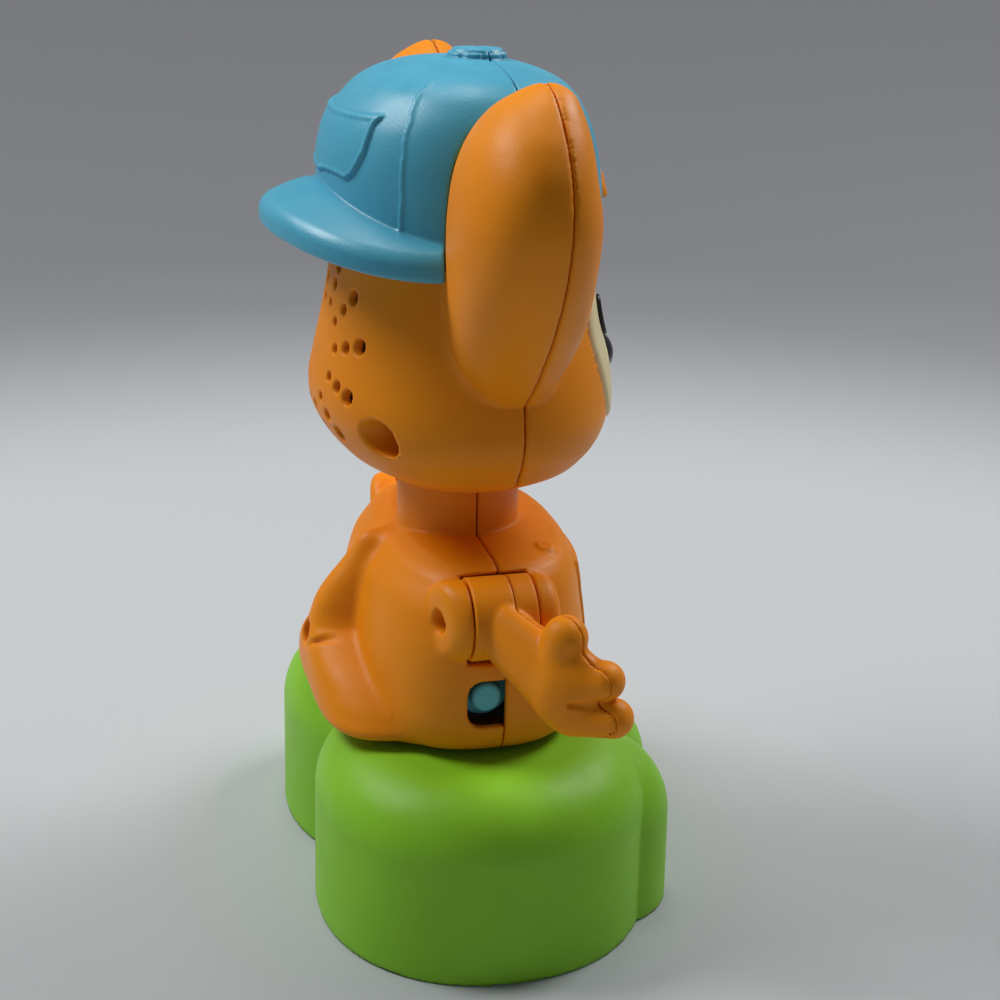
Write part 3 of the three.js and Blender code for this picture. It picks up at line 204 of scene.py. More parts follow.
def drum(axis: int, centre: tuple[float, float], ends: tuple[float, float], radius: float,
         edge: float = 0.0) -> Solid:
    """A round bar along an axis.

    Args:
        axis: 0, 1 or 2 for X, Y or Z.
        centre: The two other coordinates, in their usual order.
        ends: Where it begins and ends on the axis.
        radius: The bar's radius.
        edge: How round its two rims are.
    """
    u, v = [i for i in range(3) if i != axis]
    middle, half = (ends[0] + ends[1]) / 2, abs(ends[1] - ends[0]) / 2

    def distance(p: Array) -> Array:
        out = np.hypot(p[u] - centre[0], p[v] - centre[1]) - radius
        return rounded_pair(out, np.abs(p[axis] - middle) - half, edge)
    return distance


def block(low: Vec, high: Vec, edge: float = 0.0) -> Solid:
    """A box with rounded edges."""
    a, b = np.array(low, float)[:, None], np.array(high, float)[:, None]
    middle, half = (a + b) / 2, (b - a) / 2 - edge

    def distance(p: Array) -> Array:
        q = np.abs(p - middle) - half
        return np.minimum(q.max(0), 0) + np.sqrt((np.maximum(q, 0) ** 2).sum(0)) - edge
    return distance


def beyond(axis: int, value: float, sign: int = 1) -> Solid:
    """The half of space past a plane: above it where sign is 1, below it where it is -1."""
    return lambda p: (value - p[axis]) * sign


def profile_spline(at: Array, values: Array, fine: Array) -> Array:
    """A smooth curve through rows of values, sampled finely."""
    slope = np.gradient(values, at)
    i = np.clip(np.searchsorted(at, fine) - 1, 0, len(at) - 2)
    span = at[i + 1] - at[i]
    t = (fine - at[i]) / span
    h00, h10 = (1 + 2 * t) * (1 - t) ** 2, t * (1 - t) ** 2
    h01, h11 = t * t * (3 - 2 * t), t * t * (t - 1)
    return h00 * values[i] + h10 * span * slope[i] + h01 * values[i + 1] + h11 * span * slope[i + 1]


@dataclass
class Loft:
    """A form with level oval sections.

    Attributes:
        rows: Height share, then half-width, rear and front shares, and how square the row is if
            that differs from the rest.
        low: Where the form starts.
        height: How tall it is.
        sizes: The full half width, rear and front depth.
        power: How square the ovals are; 2 is an ellipse.
        domed: Whether it closes to a point at the top.
        middle: The Y of the ovals' middle.
        edge: How round the top and bottom rims are.
    """

    rows: Sequence[tuple[float, ...]]
    low: float
    height: float
    sizes: Vec
    power: float = 2.1
    domed: bool = False
    middle: float = 0.0
    edge: float = 1.0

    def solid(self) -> Solid:
        """The form as a solid."""
        rows = np.array(self.rows, float)
        fine = np.linspace(0, 1, 500)
        place = 1 - np.sqrt(1 - rows[:, 0]) if self.domed else rows[:, 0]
        up = 1 - (1 - fine) ** 2 if self.domed else fine
        heights = self.low + up * self.height
        tables = [np.maximum(profile_spline(place, rows[:, i + 1], fine) * self.sizes[i], 0.2)
                  for i in range(3)]
        powers = rows[:, 4] if rows.shape[1] > 4 else np.full(len(rows), self.power)
        power_table = np.interp(fine, place, powers)
        middle = self.middle

        def rough(p: Array) -> Array:
            width, rear, front = (np.interp(p[2], heights, table) for table in tables)
            power = np.interp(p[2], heights, power_table)
            y = p[1] - middle
            depth = np.where(y < 0, front, rear)
            return (oval(p[0] / width, y / depth, power) - 1) * np.minimum(width, depth)

        level, top, low, edge = levelled(rough), self.low + self.height, self.low, self.edge
        if self.domed:
            return lambda p: blend_max(np.maximum(level(p), p[2] - top), low - p[2], edge)
        return lambda p: blend_max(blend_max(level(p), p[2] - top, edge), low - p[2], edge)


# From a solid to a mesh


Ticks = list[Array]
BLOCK = 5  # cells a side in a block of the coarse pass
NEAR_SHARE = 1.25  # a block is meshed when the surface may lie this many of its sides away
BATCH = 400_000  # points handed to a solid at a time


def grid_ticks(low: Vec, high: Vec, step: float, coarse: int, dense: "Dense | None") -> Ticks:
    """The places of a grid's planes on X, Y and Z, in whole blocks of `coarse` planes."""
    ticks = []
    for axis in range(3):
        at, row = low[axis] - coarse * step, []
        while at < high[axis] + coarse * step or (len(row) - 1) % coarse:
            row.append(at)
            inside = dense and dense.low[axis] <= at < dense.high[axis]
            at += dense.step if inside else step
        ticks.append(np.array(row))
    return ticks


def surface_net(values: Array, ticks: Ticks) -> tuple[Array, Array]:
    """The zero surface of a grid of distances, as one vertex in each cell that it crosses.

    Args:
        values: The distances at the grid's nodes.
        ticks: The places of the grid's planes.

    Returns:
        The vertices and the four-sided faces, which point outwards.
    """
    inside = values < 0
    views = [(slice(None, -1), slice(1, None))[bit] for bit in (0, 1)]
    corners = list(product((0, 1), repeat=3))
    count = sum(inside[views[i], views[j], views[k]].astype(np.int8) for i, j, k in corners)
    active = (count > 0) & (count < 8)
    cells = np.argwhere(active)
    index = np.full(active.shape, -1, np.int64)
    index[active] = np.arange(len(cells))
    at = {c: values[cells[:, 0] + c[0], cells[:, 1] + c[1], cells[:, 2] + c[2]] for c in corners}
    total, crossings = np.zeros((len(cells), 3)), np.zeros(len(cells))
    for c in corners:
        for axis in range(3):
            if c[axis]:
                continue
            d = tuple(v + (i == axis) for i, v in enumerate(c))
            a, b = at[c], at[d]
            cross = (a < 0) != (b < 0)
            share = np.where(cross, a / np.where(a == b, 1, a - b), 0)
            point = np.array(c, float) + share[:, None] * np.eye(3)[axis]
            total += point * cross[:, None]
            crossings += cross
    place = total / crossings[:, None]
    vertices = np.stack([row[cells[:, i]] + place[:, i] * (row[cells[:, i] + 1] - row[cells[:, i]])
                         for i, row in enumerate(ticks)], 1)
    faces = []
    for axis in range(3):
        u, v = (axis + 1) % 3, (axis + 2) % 3
        first = [slice(None)] * 3
        second = [slice(None)] * 3
        first[axis], second[axis] = slice(None, -1), slice(1, None)
        a, b = inside[tuple(first)], inside[tuple(second)]
        nodes = np.argwhere(a != b)
        keep = (nodes[:, u] > 0) & (nodes[:, v] > 0)
        keep &= (nodes[:, u] < values.shape[u] - 1) & (nodes[:, v] < values.shape[v] - 1)
        nodes = nodes[keep]
        outward = a[tuple(nodes.T)]
        ring = []
        for du, dv in ((-1, -1), (0, -1), (0, 0), (-1, 0)):
            cell = nodes.copy()
            cell[:, u] += du
            cell[:, v] += dv
            ring.append(index[tuple(cell.T)])
        quad = np.stack(ring, 1)
        faces.append(np.where(outward[:, None], quad, quad[:, ::-1]))
    return vertices, np.concatenate(faces)


@dataclass(frozen=True)
class Dense:
    """A box in which a mesh is finer."""

    low: Vec
    high: Vec
    step: float


def enlarged(grid: Array, times: int) -> Array:
    """A grid with each value repeated along all three axes."""
    for axis in range(3):
        grid = np.repeat(grid, times, axis)
    return grid


def meshed(solid: Solid, low: Vec, high: Vec, step: float,
           dense: Dense | None = None) -> tuple[Array, Array]:
    """Meshes a solid: a coarse pass finds where its surface lies, and a fine one draws it.

    Args:
        solid: The solid, in millimetres.
        low: A corner below all of it.
        high: A corner above all of it.
        step: The size of the faces.
        dense: Where the faces are smaller.

    Returns:
        Vertices in millimetres and faces.
    """
    coarse = BLOCK
    ticks = grid_ticks(low, high, step, coarse, dense)
    blocks = np.array([(len(row) - 1) // coarse for row in ticks])
    nodes = np.stack(np.meshgrid(*[row[::coarse] for row in ticks], indexing="ij")).reshape(3, -1)
    rough = solid(nodes).reshape(blocks + 1)
    octants = list(product((0, 1), repeat=3))
    corners = [rough[i:i + blocks[0], j:j + blocks[1], k:k + blocks[2]] for i, j, k in octants]
    near = np.min(np.abs(corners), 0) < step * coarse * NEAR_SHARE
    values = enlarged(rough, coarse)
    size = blocks * coarse + 1
    values = values[:size[0], :size[1], :size[2]].copy()
    marked = np.zeros(size, bool)
    fine = enlarged(near, coarse)
    for i, j, k in octants:
        marked[i:i + fine.shape[0], j:j + fine.shape[1], k:k + fine.shape[2]] |= fine
    wanted = np.argwhere(marked)
    points = np.stack([row[wanted[:, i]] for i, row in enumerate(ticks)])
    parts = [solid(points[:, i:i + BATCH]) for i in range(0, points.shape[1], BATCH)]
    values[marked] = np.concatenate(parts)
    vertices, faces = surface_net(values, ticks)
    return settled(solid, vertices, dense.step if dense else step), faces


def settled(solid: Solid, vertices: Array, step: float) -> Array:
    """Moves vertices onto the solid's true surface, within their own cells."""
    p = vertices.T.copy()
    reach, passes, furthest = 0.04, 2, 0.35 * step
    for _ in range(passes):
        value = solid(p)
        slope = slope_of(solid, p, value, reach)
        move = value * slope / np.maximum((slope ** 2).sum(0), 0.25)
        p -= np.clip(move, -furthest, furthest)
    return p.T


def new_piece(name: str, vertices: Array, faces: Array,
              material: bpy.types.Material) -> bpy.types.Object:
    """Makes a linked mesh object, at the origin, from millimetres and rows of vertex numbers."""
    mesh = bpy.data.meshes.new(name)
    mesh.vertices.add(len(vertices))
    mesh.vertices.foreach_set("co", (vertices * MM).astype(np.float32).ravel())
    sides = faces.shape[1]
    mesh.loops.add(faces.size)
    mesh.loops.foreach_set("vertex_index", faces.astype(np.int32).ravel())
    mesh.polygons.add(len(faces))
    mesh.polygons.foreach_set("loop_start", np.arange(0, faces.size, sides, dtype=np.int32))
    mesh.update(calc_edges=True)
    mesh.polygons.foreach_set("use_smooth", np.full(len(faces), True))
    mesh.materials.append(material)
    mesh.update()
    return linked(name, mesh)


def linked(name: str, data: bpy.types.ID) -> bpy.types.Object:
    """A new object in the scene, at the origin."""
    made = bpy.data.objects.new(name, data)
    bpy.context.scene.collection.objects.link(made)
    return made


def moulded(name: str, solid: Solid, low: Vec, high: Vec, step: float, finish: "Finish", body: str,
            *nodes: str, dense: Dense | None = None) -> bpy.types.Object:
    """Meshes a solid, dresses it and sets it on its body in place of CAD nodes."""
    vertices, faces = meshed(solid, low, high, step, dense)
    piece = new_piece(name, vertices, faces, finish.material())
    settle_on(piece, body, finish.slot, *nodes)
    LOG.info("%s: %d faces", name, len(faces))
    return piece


def moulded_pair(name: str, solid: Solid, low: Vec, high: Vec, step: float, finish: "Finish",
                 body: str, node: str) -> None:
    """Meshes a solid of the left side and sets it and its mirror image, each on its own body."""
    vertices, faces = meshed(solid, low, high, step)
    for side in Side:
        turned = vertices * np.array([side.value, 1, 1])
        order = faces if side is Side.LEFT else faces[:, ::-1]
        piece = new_piece(f"{side.label}_{name}", turned, order, finish.material())
        settle_on(piece, f"{side.label}_{body}", finish.slot, f"{side.label}_{node}")
    LOG.info("%s: %d faces", name, len(faces))


def settle_on(piece: bpy.types.Object, body: str, slot: str, *nodes: str) -> None:
    """Lets a piece ride on a body and stand for CAD nodes, which it hides."""
    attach(piece, body)
    if nodes:
        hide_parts(*nodes)


# Finishes

# The numbers of a mix node's sockets, since their names repeat.
MIX_SHARE, VECTOR_A, VECTOR_B, COLOUR_A, COLOUR_B = 0, 4, 5, 6, 7
VECTOR_OUT, COLOUR_OUT = 1, 2


def linear(colour: str) -> tuple[float, float, float, float]:
    """An sRGB hex colour as the linear values that Blender takes."""
    values = [int(colour[i:i + 2], 16) / 255 for i in (1, 3, 5)]
    return (*[v / 12.92 if v <= 0.04045 else ((v + 0.055) / 1.055) ** 2.4 for v in values], 1.0)


def add(tree: NodeTree, kind: str, settings: dict | None = None, **links) -> bpy.types.Node:
    """Adds a node.

    Args:
        tree: The node tree.
        kind: The node's type.
        settings: Properties of the node, or what its sockets get, by the socket's name or number.
        links: The same for more sockets, with the spaces of their names written as _.

    Returns:
        The new node.
    """
    node = tree.nodes.new(kind)
    for name, given in {**(settings or {}), **links}.items():
        if isinstance(name, str) and hasattr(node, name):
            setattr(node, name, given)
            continue
        socket = node.inputs[name.replace("_", " ") if isinstance(name, str) else name]
        for source in given if isinstance(given, list) else [given]:
            if isinstance(source, NodeSocket):
                tree.links.new(source, socket)
            else:
                socket.default_value = source
    return node


@dataclass(frozen=True)
class Finish:
    """What every finish has: a name and the slot that it belongs to."""

    name: str
    slot: str

    def material(self) -> bpy.types.Material:
        """The material, made once."""
        known = bpy.data.materials.get(self.name)
        if known:
            return known
        material = bpy.data.materials.new(self.name)
        material.use_nodes = True
        self.dress(material.node_tree)
        return material

    def dress(self, tree: NodeTree) -> None:
        """Builds the nodes of this finish."""
        raise NotImplementedError


@dataclass(frozen=True)
class MouldedPlastic(Finish):
    """Injection-moulded plastic from a spark-eroded tool.

    Its skin has a fine grain that breaks up a highlight into a soft sparkle, the colour is slightly
    uneven where the melt flowed, hollows are darkened with painted shade, and handling leaves pale scuffs.
    """

    colour: str = "#ffffff"
    deep: str = "#dddddd"  # the colour where the melt is thicker, also used as painted shade in hollows
    pale: str = "#ffffff"  # the colour of a scuff
    roughness: float = 0.45
    grain: float = 0.6  # the grain's spacing, drawn a little coarse so that it shows
    grain_height: float = 0.05
    scuff_spacing: float = 9.0
    scuff_share: float = 0.03
    sheen: float = 0.35  # how much the surface mirrors, 0.5 being bare plastic

    def dress(self, tree: NodeTree) -> None:
        """Builds the nodes of this finish."""
        shader = tree.nodes["Principled BSDF"]
        place = add(tree, "ShaderNodeTexCoord").outputs["Object"]
        flow = add(tree, "ShaderNodeTexNoise", {"Scale": 1 / (26 * MM), "Detail": 3.0, "Roughness": 0.5},
                   Vector=place)
        tint = add(tree, "ShaderNodeMapRange", {"From Min": 0.3, "From Max": 0.75, "To Min": 0.0,
                                                "To Max": 0.35}, Value=flow.outputs["Fac"])
        # Painted shade: hollows, found by their pointiness, take on the deeper colour.
        bend = add(tree, "ShaderNodeNewGeometry").outputs["Pointiness"]
        crease_shade = add(tree, "ShaderNodeMapRange", {"From Min": 0.5, "From Max": 0.42, "To Min": 0.0,
                                                  "To Max": 0.6}, Value=bend)
        base = linear(self.colour)
        for share, colour in ((tint.outputs["Result"], self.deep), (crease_shade.outputs["Result"], self.deep),
                              (self._scuffs(tree, place), self.pale)):
            base = add(tree, "ShaderNodeMix", {"data_type": "RGBA", MIX_SHARE: share, COLOUR_A: base,
                                               COLOUR_B: linear(colour)}).outputs[COLOUR_OUT]
        tree.links.new(base, shader.inputs["Base Color"])
        wear = add(tree, "ShaderNodeTexNoise", {"Scale": 1 / (7 * MM), "Detail": 5.0}, Vector=place)
        rough = add(tree, "ShaderNodeMapRange", {"From Min": 0.3, "From Max": 0.7,
                                                 "To Min": self.roughness - 0.05,
                                                 "To Max": self.roughness + 0.07},
                    Value=wear.outputs["Fac"])
        tree.links.new(rough.outputs["Result"], shader.inputs["Roughness"])
        grain = add(tree, "ShaderNodeTexNoise", {"Scale": 1 / (self.grain * MM), "Detail": 2.0,
                                                 "Roughness": 0.6}, Vector=place)
        bump = add(tree, "ShaderNodeBump", {"Strength": 1.0, "Distance": self.grain_height * MM},
                   Height=grain.outputs["Fac"])
        tree.links.new(bump.outputs["Normal"], shader.inputs["Normal"])
        shader.inputs["IOR"].default_value = 1.5
        shader.inputs["Specular IOR Level"].default_value = self.sheen

    def _scuffs(self, tree: NodeTree, place: NodeSocket) -> NodeSocket:
        """A few short pale strokes, where the plastic rubbed against something."""
        wander = add(tree, "ShaderNodeTexNoise", {"Scale": 1 / (12 * MM)}, Vector=place)
        bent = add(tree, "ShaderNodeMix", {"data_type": "VECTOR", MIX_SHARE: 0.004, VECTOR_A: place,
                                           VECTOR_B: wander.outputs["Color"]})
        strokes = add(tree, "ShaderNodeMapping", {"Scale": (1.0, 1.0, 0.22)},
                      Vector=bent.outputs[VECTOR_OUT])
        cells = add(tree, "ShaderNodeTexVoronoi", {"Scale": 1 / (self.scuff_spacing * MM)},
                    Vector=strokes.outputs["Vector"])
        close = add(tree, "ShaderNodeMapRange", {"From Min": 0.02, "From Max": 0.075, "To Min": 1.0,
                                                 "To Max": 0.0}, Value=cells.outputs["Distance"])
        chosen = add(tree, "ShaderNodeTexWhiteNoise", {"noise_dimensions": "3D"},
                     Vector=cells.outputs["Position"])
        some = add(tree, "ShaderNodeMath", {"operation": "LESS_THAN", 0: chosen.outputs["Value"],
                                            1: self.scuff_share})
        return add(tree, "ShaderNodeMath", {"operation": "MULTIPLY", 0: close.outputs["Result"],
                                            1: some.outputs["Value"]}).outputs["Value"]


@dataclass(frozen=True)
class PlainPart(Finish):
    """A small part inside: plastic, board, wire or wrapped cell, with a fine mottle."""

    colour: str = "#808080"
    other: str = "#707070"
    roughness: float = 0.5
    metallic: float = 0.0
    spacing: float = 1.5
    height: float = 0.01

    def dress(self, tree: NodeTree) -> None:
        """Builds the nodes of this finish."""
        shader = tree.nodes["Principled BSDF"]
        place = add(tree, "ShaderNodeTexCoord").outputs["Object"]
        mottle = add(tree, "ShaderNodeTexNoise", {"Scale": 1 / (self.spacing * MM), "Detail": 4.0},
                     Vector=place)
        base = add(tree, "ShaderNodeMix", {"data_type": "RGBA", MIX_SHARE: mottle.outputs["Fac"],
                                           COLOUR_A: linear(self.colour), COLOUR_B: linear(self.other)})
        tree.links.new(base.outputs[COLOUR_OUT], shader.inputs["Base Color"])
        rough = add(tree, "ShaderNodeMapRange", {"To Min": self.roughness - 0.08,
                                                 "To Max": self.roughness + 0.08},
                    Value=mottle.outputs["Fac"])
        tree.links.new(rough.outputs["Result"], shader.inputs["Roughness"])
        shader.inputs["Metallic"].default_value = self.metallic
        bump = add(tree, "ShaderNodeBump", {"Distance": self.height * MM}, Height=mottle.outputs["Fac"])
        tree.links.new(bump.outputs["Normal"], shader.inputs["Normal"])


# Polypropylene, moulded: bright, slightly soft-looking colours with a satin grain.
GREEN = MouldedPlastic("apple_green_polypropylene", "green", "#8ccd26", "#70b018", "#c4e68e", 0.46)
ORANGE = MouldedPlastic("orange_polypropylene", "orange", "#f79408", "#e47d03", "#ffd39a", 0.46,
                        scuff_share=0.006, sheen=0.25)
BLUE = MouldedPlastic("sky_blue_polypropylene", "blue", "#50b1ce", "#3290b2", "#2a6f84", 0.38,
                      scuff_spacing=11.0, scuff_share=0.012, sheen=0.5)
PLUNGER_BLUE = MouldedPlastic("sky_blue_acetal", "plunger_blue", "#62bccd", "#3c93a8", "#9bdbe6", 0.34,
                              grain_height=0.004, scuff_share=0.0)
CREAM = MouldedPlastic("cream_polypropylene", "cream", "#efe0b0", "#dccb93", "#fff8df", 0.45,
                       scuff_share=0.0)
BLACK = MouldedPlastic("black_gloss_plastic", "black_plastic", "#26221f", "#171412", "#5a5450", 0.22,
                       grain_height=0.002, scuff_share=0.0)
# Parts that sit inside.
DARK_GREEN = PlainPart("matt_green_polypropylene", "dark_green", "#74ad2f", "#669c26", 0.6)
DARK = PlainPart("black_phenolic", "black_plastic", "#2a2826", "#1c1a19", 0.45)
GREY = PlainPart("grey_acetal", "grey_plastic", "#8d9093", "#7c8083", 0.5)
STEEL = PlainPart("zinc_plated_steel", "steel", "#c3c5c8", "#a9abae", 0.34, metallic=1.0, spacing=0.8)
CELL = PlainPart("wrapped_zinc_cell", "cell", "#3a3f45", "#2f3338", 0.35)
BOARD = PlainPart("green_epoxy_board", "board", "#2f7145", "#25603a", 0.4)
WIRE = PlainPart("red_vinyl_wire", "wire", "#b5392d", "#a23026", 0.45)


# Sub-assemblies

BODY = "base_and_body"
HEAD = "head"
WALL = 2.2
GAP = 0.3
SEAM = 0.16  # half of the dark line between two half shells
SCREW_BORE = 1.6
SCREW_POST = 3.4
PIN_BORE = 2.3  # in the shoulders and the arms
SHOULDER = (40.0, 79.8)  # the left shoulder's axis, in X and Z
KNUCKLE = 9.6  # the radius of the arm's knuckle
SWEPT = KNUCKLE + 0.5  # what the knuckle's slot is cut to
NECK_RADIUS = 14.9
HEAD_PARTING = -4.4  # where the shells of the head, the ears and the cap meet
HARNESS = (8.0, -6.0)  # where the wires pass from the base to the body
HARNESS_BORE = 1.8


def halves(solid: Solid, parting: float, edge: float = 0.35) -> tuple[Solid, Solid]:
    """Splits a solid at a plane Y = parting into its rear and front halves."""
    return (shared(solid, beyond(1, parting + SEAM), k=edge),
            shared(solid, beyond(1, parting - SEAM, -1), k=edge))


def hollowed(solid: Solid, wall: float = WALL) -> Solid:
    """The skin of a solid, as thick as its wall."""
    return lambda p: np.abs(solid(p) + wall / 2) - wall / 2


def moulded_halves(name: str, solid: Solid, parting: float, low: Vec, high: Vec, step: float,
                   finish: Finish, body: str) -> None:
    """Splits a solid at its parting line and makes the two half shells."""
    rear, front = halves(solid, parting)
    moulded(f"{name}_rear", rear, (low[0], parting - 1, low[2]), high, step, finish, body,
            f"{name}_rear_shell")
    moulded(f"{name}_front", front, low, (high[0], parting + 1, high[2]), step, finish, body,
            f"{name}_front_shell")


@dataclass
class Base:
    """The clover-shaped base: two large lobes at the sides and three smaller ones in front."""

    height: float = 45.0
    side_lobe: tuple[float, float] = (41.7, 40.1)
    side_x: float = 25.9
    side_round: float = 15.0
    knee: tuple[float, float, float] = (31.0, -27.0, 19.5)
    knee_height: float = 41.7
    front: tuple[float, float, float] = (0.0, -30.0, 21.0)
    front_height: float = 39.5
    small_round: float = 18.0
    squareness: float = 2.15
    draft: float = 0.5
    valley: float = 0.4
    screws: tuple[tuple[float, float], ...] = ((44.0, 22.0), (44.0, -27.0))
    post_foot: float = 12.4
    bore_top: float = 24.0
    step: float = 1.0

    def lobe(self, x: float, y: float, half: tuple[float, float], top: float, edge: float) -> Solid:
        """One lobe with its rounded top edge."""
        def distance(p: Array) -> Array:
            lean = self.draft * np.clip(p[2] / top, 0, 1)
            ring = oval((p[0] - x) / (half[0] - lean), (p[1] - y) / (half[1] - lean), self.squareness)
            return rounded_pair((ring - 1) * min(half), p[2] - top, edge)
        return distance

    def build(self) -> None:
        """Makes the base's shell and dresses it."""
        small = [self.lobe(x, y, (radius, radius), height, self.small_round)
                 for (x, y, radius), height in ((self.knee, self.knee_height),
                                                (self.front, self.front_height))]
        side = self.lobe(self.side_x, 0, self.side_lobe, self.height, self.side_round)
        outer = on_both_sides(joined(side, *small, k=self.valley))
        posts = [drum(2, at, (self.post_foot, self.height), SCREW_POST) for at in self.screws]
        bores = [drum(2, at, (0, self.bore_top), SCREW_BORE) for at in self.screws]
        inner = shared(on_both_sides(without(joined(*posts), *bores)), grown(outer, -1.0))
        shell = joined(hollowed(outer), inner)
        harness = drum(2, HARNESS, (30, 60), HARNESS_BORE)
        open_below = shared(without(shell, harness), beyond(2, 0.0), k=0.6)
        moulded("clover_base", open_below, (-69, -53, -1), (69, 42, 47), self.step, GREEN, BODY,
                "base_shell")


@dataclass
class Torso:
    """The puppy's body: rear and front shells, with the neck, tail, bib, paws and shoulder bosses."""

    floor: float = 46.2
    height: float = 44.4
    sizes: Vec = (44.2, 28.0, 28.6)
    parting: float = -1.2
    neck_top: float = 107.5
    slot_half: float = 7.7
    rear_boss: float = 15.6
    boss_face: float = 15.0  # where the boss's slanted end crosses its own axis
    boss_slant: float = 0.435  # how far that end turns outwards, in radians
    front_boss: float = 13.0
    screw_z: float = 62.2
    screw_well: tuple[float, float, float] = (23.8, 37.0, 5.4)  # its ends and outer radius
    screw_recess: tuple[float, float] = (25.6, 3.2)  # its floor and radius
    pin_recess: tuple[float, float] = (6.4, 2.9)  # its depth and radius
    window_at: tuple[float, float, float, float] = (53.8, 65.6, 7.6, 31.2)  # low, high, rear, inner
    step: float = 0.7
    rows: tuple = ((0, .905, .945, .86), (.045, .955, .98, .93), (.13, .985, 1, .98), (.29, 1, .985, 1),
                   (.42, 1, .97, 1), (.58, .99, .935, .97), (.69, .965, .895, .945),
                   (.785, .935, .84, .93), (.875, .89, .73, .905), (.93, .845, .66, .87),
                   (.97, .785, .55, .815), (.99, .72, .5, .74), (1, .63, .46, .65))
    # Height share, half width, reach and squareness.
    tail_rows: tuple = ((0, .93, .945, 4.4), (.05, .97, .97, 4.1), (.12, .93, .985, 3.6),
                        (.2, .84, .995, 3.2), (.28, .7, 1, 2.9), (.345, .55, .995, 2.7),
                        (.4, .42, .98, 2.6), (.44, .32, .963, 2.6), (.49, .27, .947, 2.6),
                        (.57, .24, .915, 2.6), (.653, .22, .858, 2.5), (.766, .19, .753, 2.5),
                        (.851, .16, .683, 2.4), (.919, .12, .63, 2.3), (.965, .06, .58, 2.2))
    tail: Vec = (36.0, 38.8, 5.0)

    def outer(self) -> Solid:
        """The torso's own form, without what is added to it."""
        return Loft(self.rows, self.floor, self.height, self.sizes, 2.6, edge=1.2).solid()

    def tail_form(self) -> Solid:
        """The tail, lying up the back, with the creases between its tufts of fur."""
        width, reach, root = self.tail
        top = self.tail_rows[-1][0]
        rows = [(up / top, w, (reach * out - root) / reach, root / reach, square)
                for up, w, out, square in self.tail_rows]
        whole = Loft(rows, self.floor, self.height * top, (width, reach, reach), middle=root,
                     edge=3.0).solid()
        across = joined(capsule((17.0, 24.0, 68.4), (11.0, 32.4, 65.4), 1.3, 1.1),
                        capsule((11.0, 32.4, 65.4), (5.0, 38.4, 61.4), 1.1, 0.2))
        along = joined(capsule((5.6, 23.6, 87.6), (6.6, 28.2, 83.0), 0.7, 1.1),
                       capsule((6.6, 28.2, 83.0), (7.6, 31.6, 77.0), 1.1, 0.3))
        return without(whole, on_both_sides(joined(across, along)), k=1.1)

    def boss(self) -> Solid:
        """The two bosses of the left shoulder, which the arm turns between."""
        radius = KNUCKLE - GAP
        rear = drum(1, SHOULDER, (self.slot_half - WALL, self.rear_boss), radius, 3.4)
        c, s = math.cos(self.boss_slant), math.sin(self.boss_slant)
        rear = shared(rear, lambda p: (p[0] - SHOULDER[0]) * s + (p[1] - self.boss_face) * c, k=4.5)
        front = drum(1, SHOULDER, (-self.front_boss, -self.slot_half + WALL), radius, 3.0)
        return joined(rear, front)

    def window(self) -> Solid:
        """The opening beside the parting line that the left plunger looks out of."""
        low, high, rear, inner = self.window_at
        corner = 3.6

        def distance(p: Array) -> Array:
            out = np.abs(p[2] - (low + high) / 2) - (high - low) / 2
            return np.maximum(rounded_pair(p[1] - rear, out, corner), inner - np.abs(p[0]))
        return shared(distance, beyond(1, self.parting))

    def bib(self) -> Solid:
        """The raised bib, which ends in a scallop at each shoulder and in a row of them below."""
        top, low, half = self.floor + .88 * self.height, self.floor + .2 * self.height, 23.0
        raised = grown(self.outer(), 0.8)

        def patch(p: Array) -> Array:
            scallop = low + 1.6 * np.abs(np.sin(3 * math.pi * p[0] / (half * .8)))
            share = np.clip((p[2] - low) / (top - low), 0, 1)
            side = np.abs(p[0]) - half * (.78 + .22 * share)
            return np.max([side, scallop - p[2], p[2] - top, p[1] + 14], 0)
        tuft = shared(raised, ball((24.4, -15.4, 88.2), (4.4, 3.2, 3.0)), k=0.5)
        return joined(shared(raised, patch, k=0.5), on_both_sides(tuft), k=0.2)

    def paws(self) -> Solid:
        """The two front paws at the torso's foot."""
        toe = 3.4
        toes = [ball((x, y, self.floor + toe), toe)
                for x, y in ((9.6, -27.5), (13.0, -28.6), (16.4, -27.5))]
        paw = joined(ball((13.0, -24.5, self.floor + 4.1), (7.5, 7.5, 5.3)), *toes, k=1.0)
        return shared(on_both_sides(paw), beyond(2, self.floor), k=0.5)

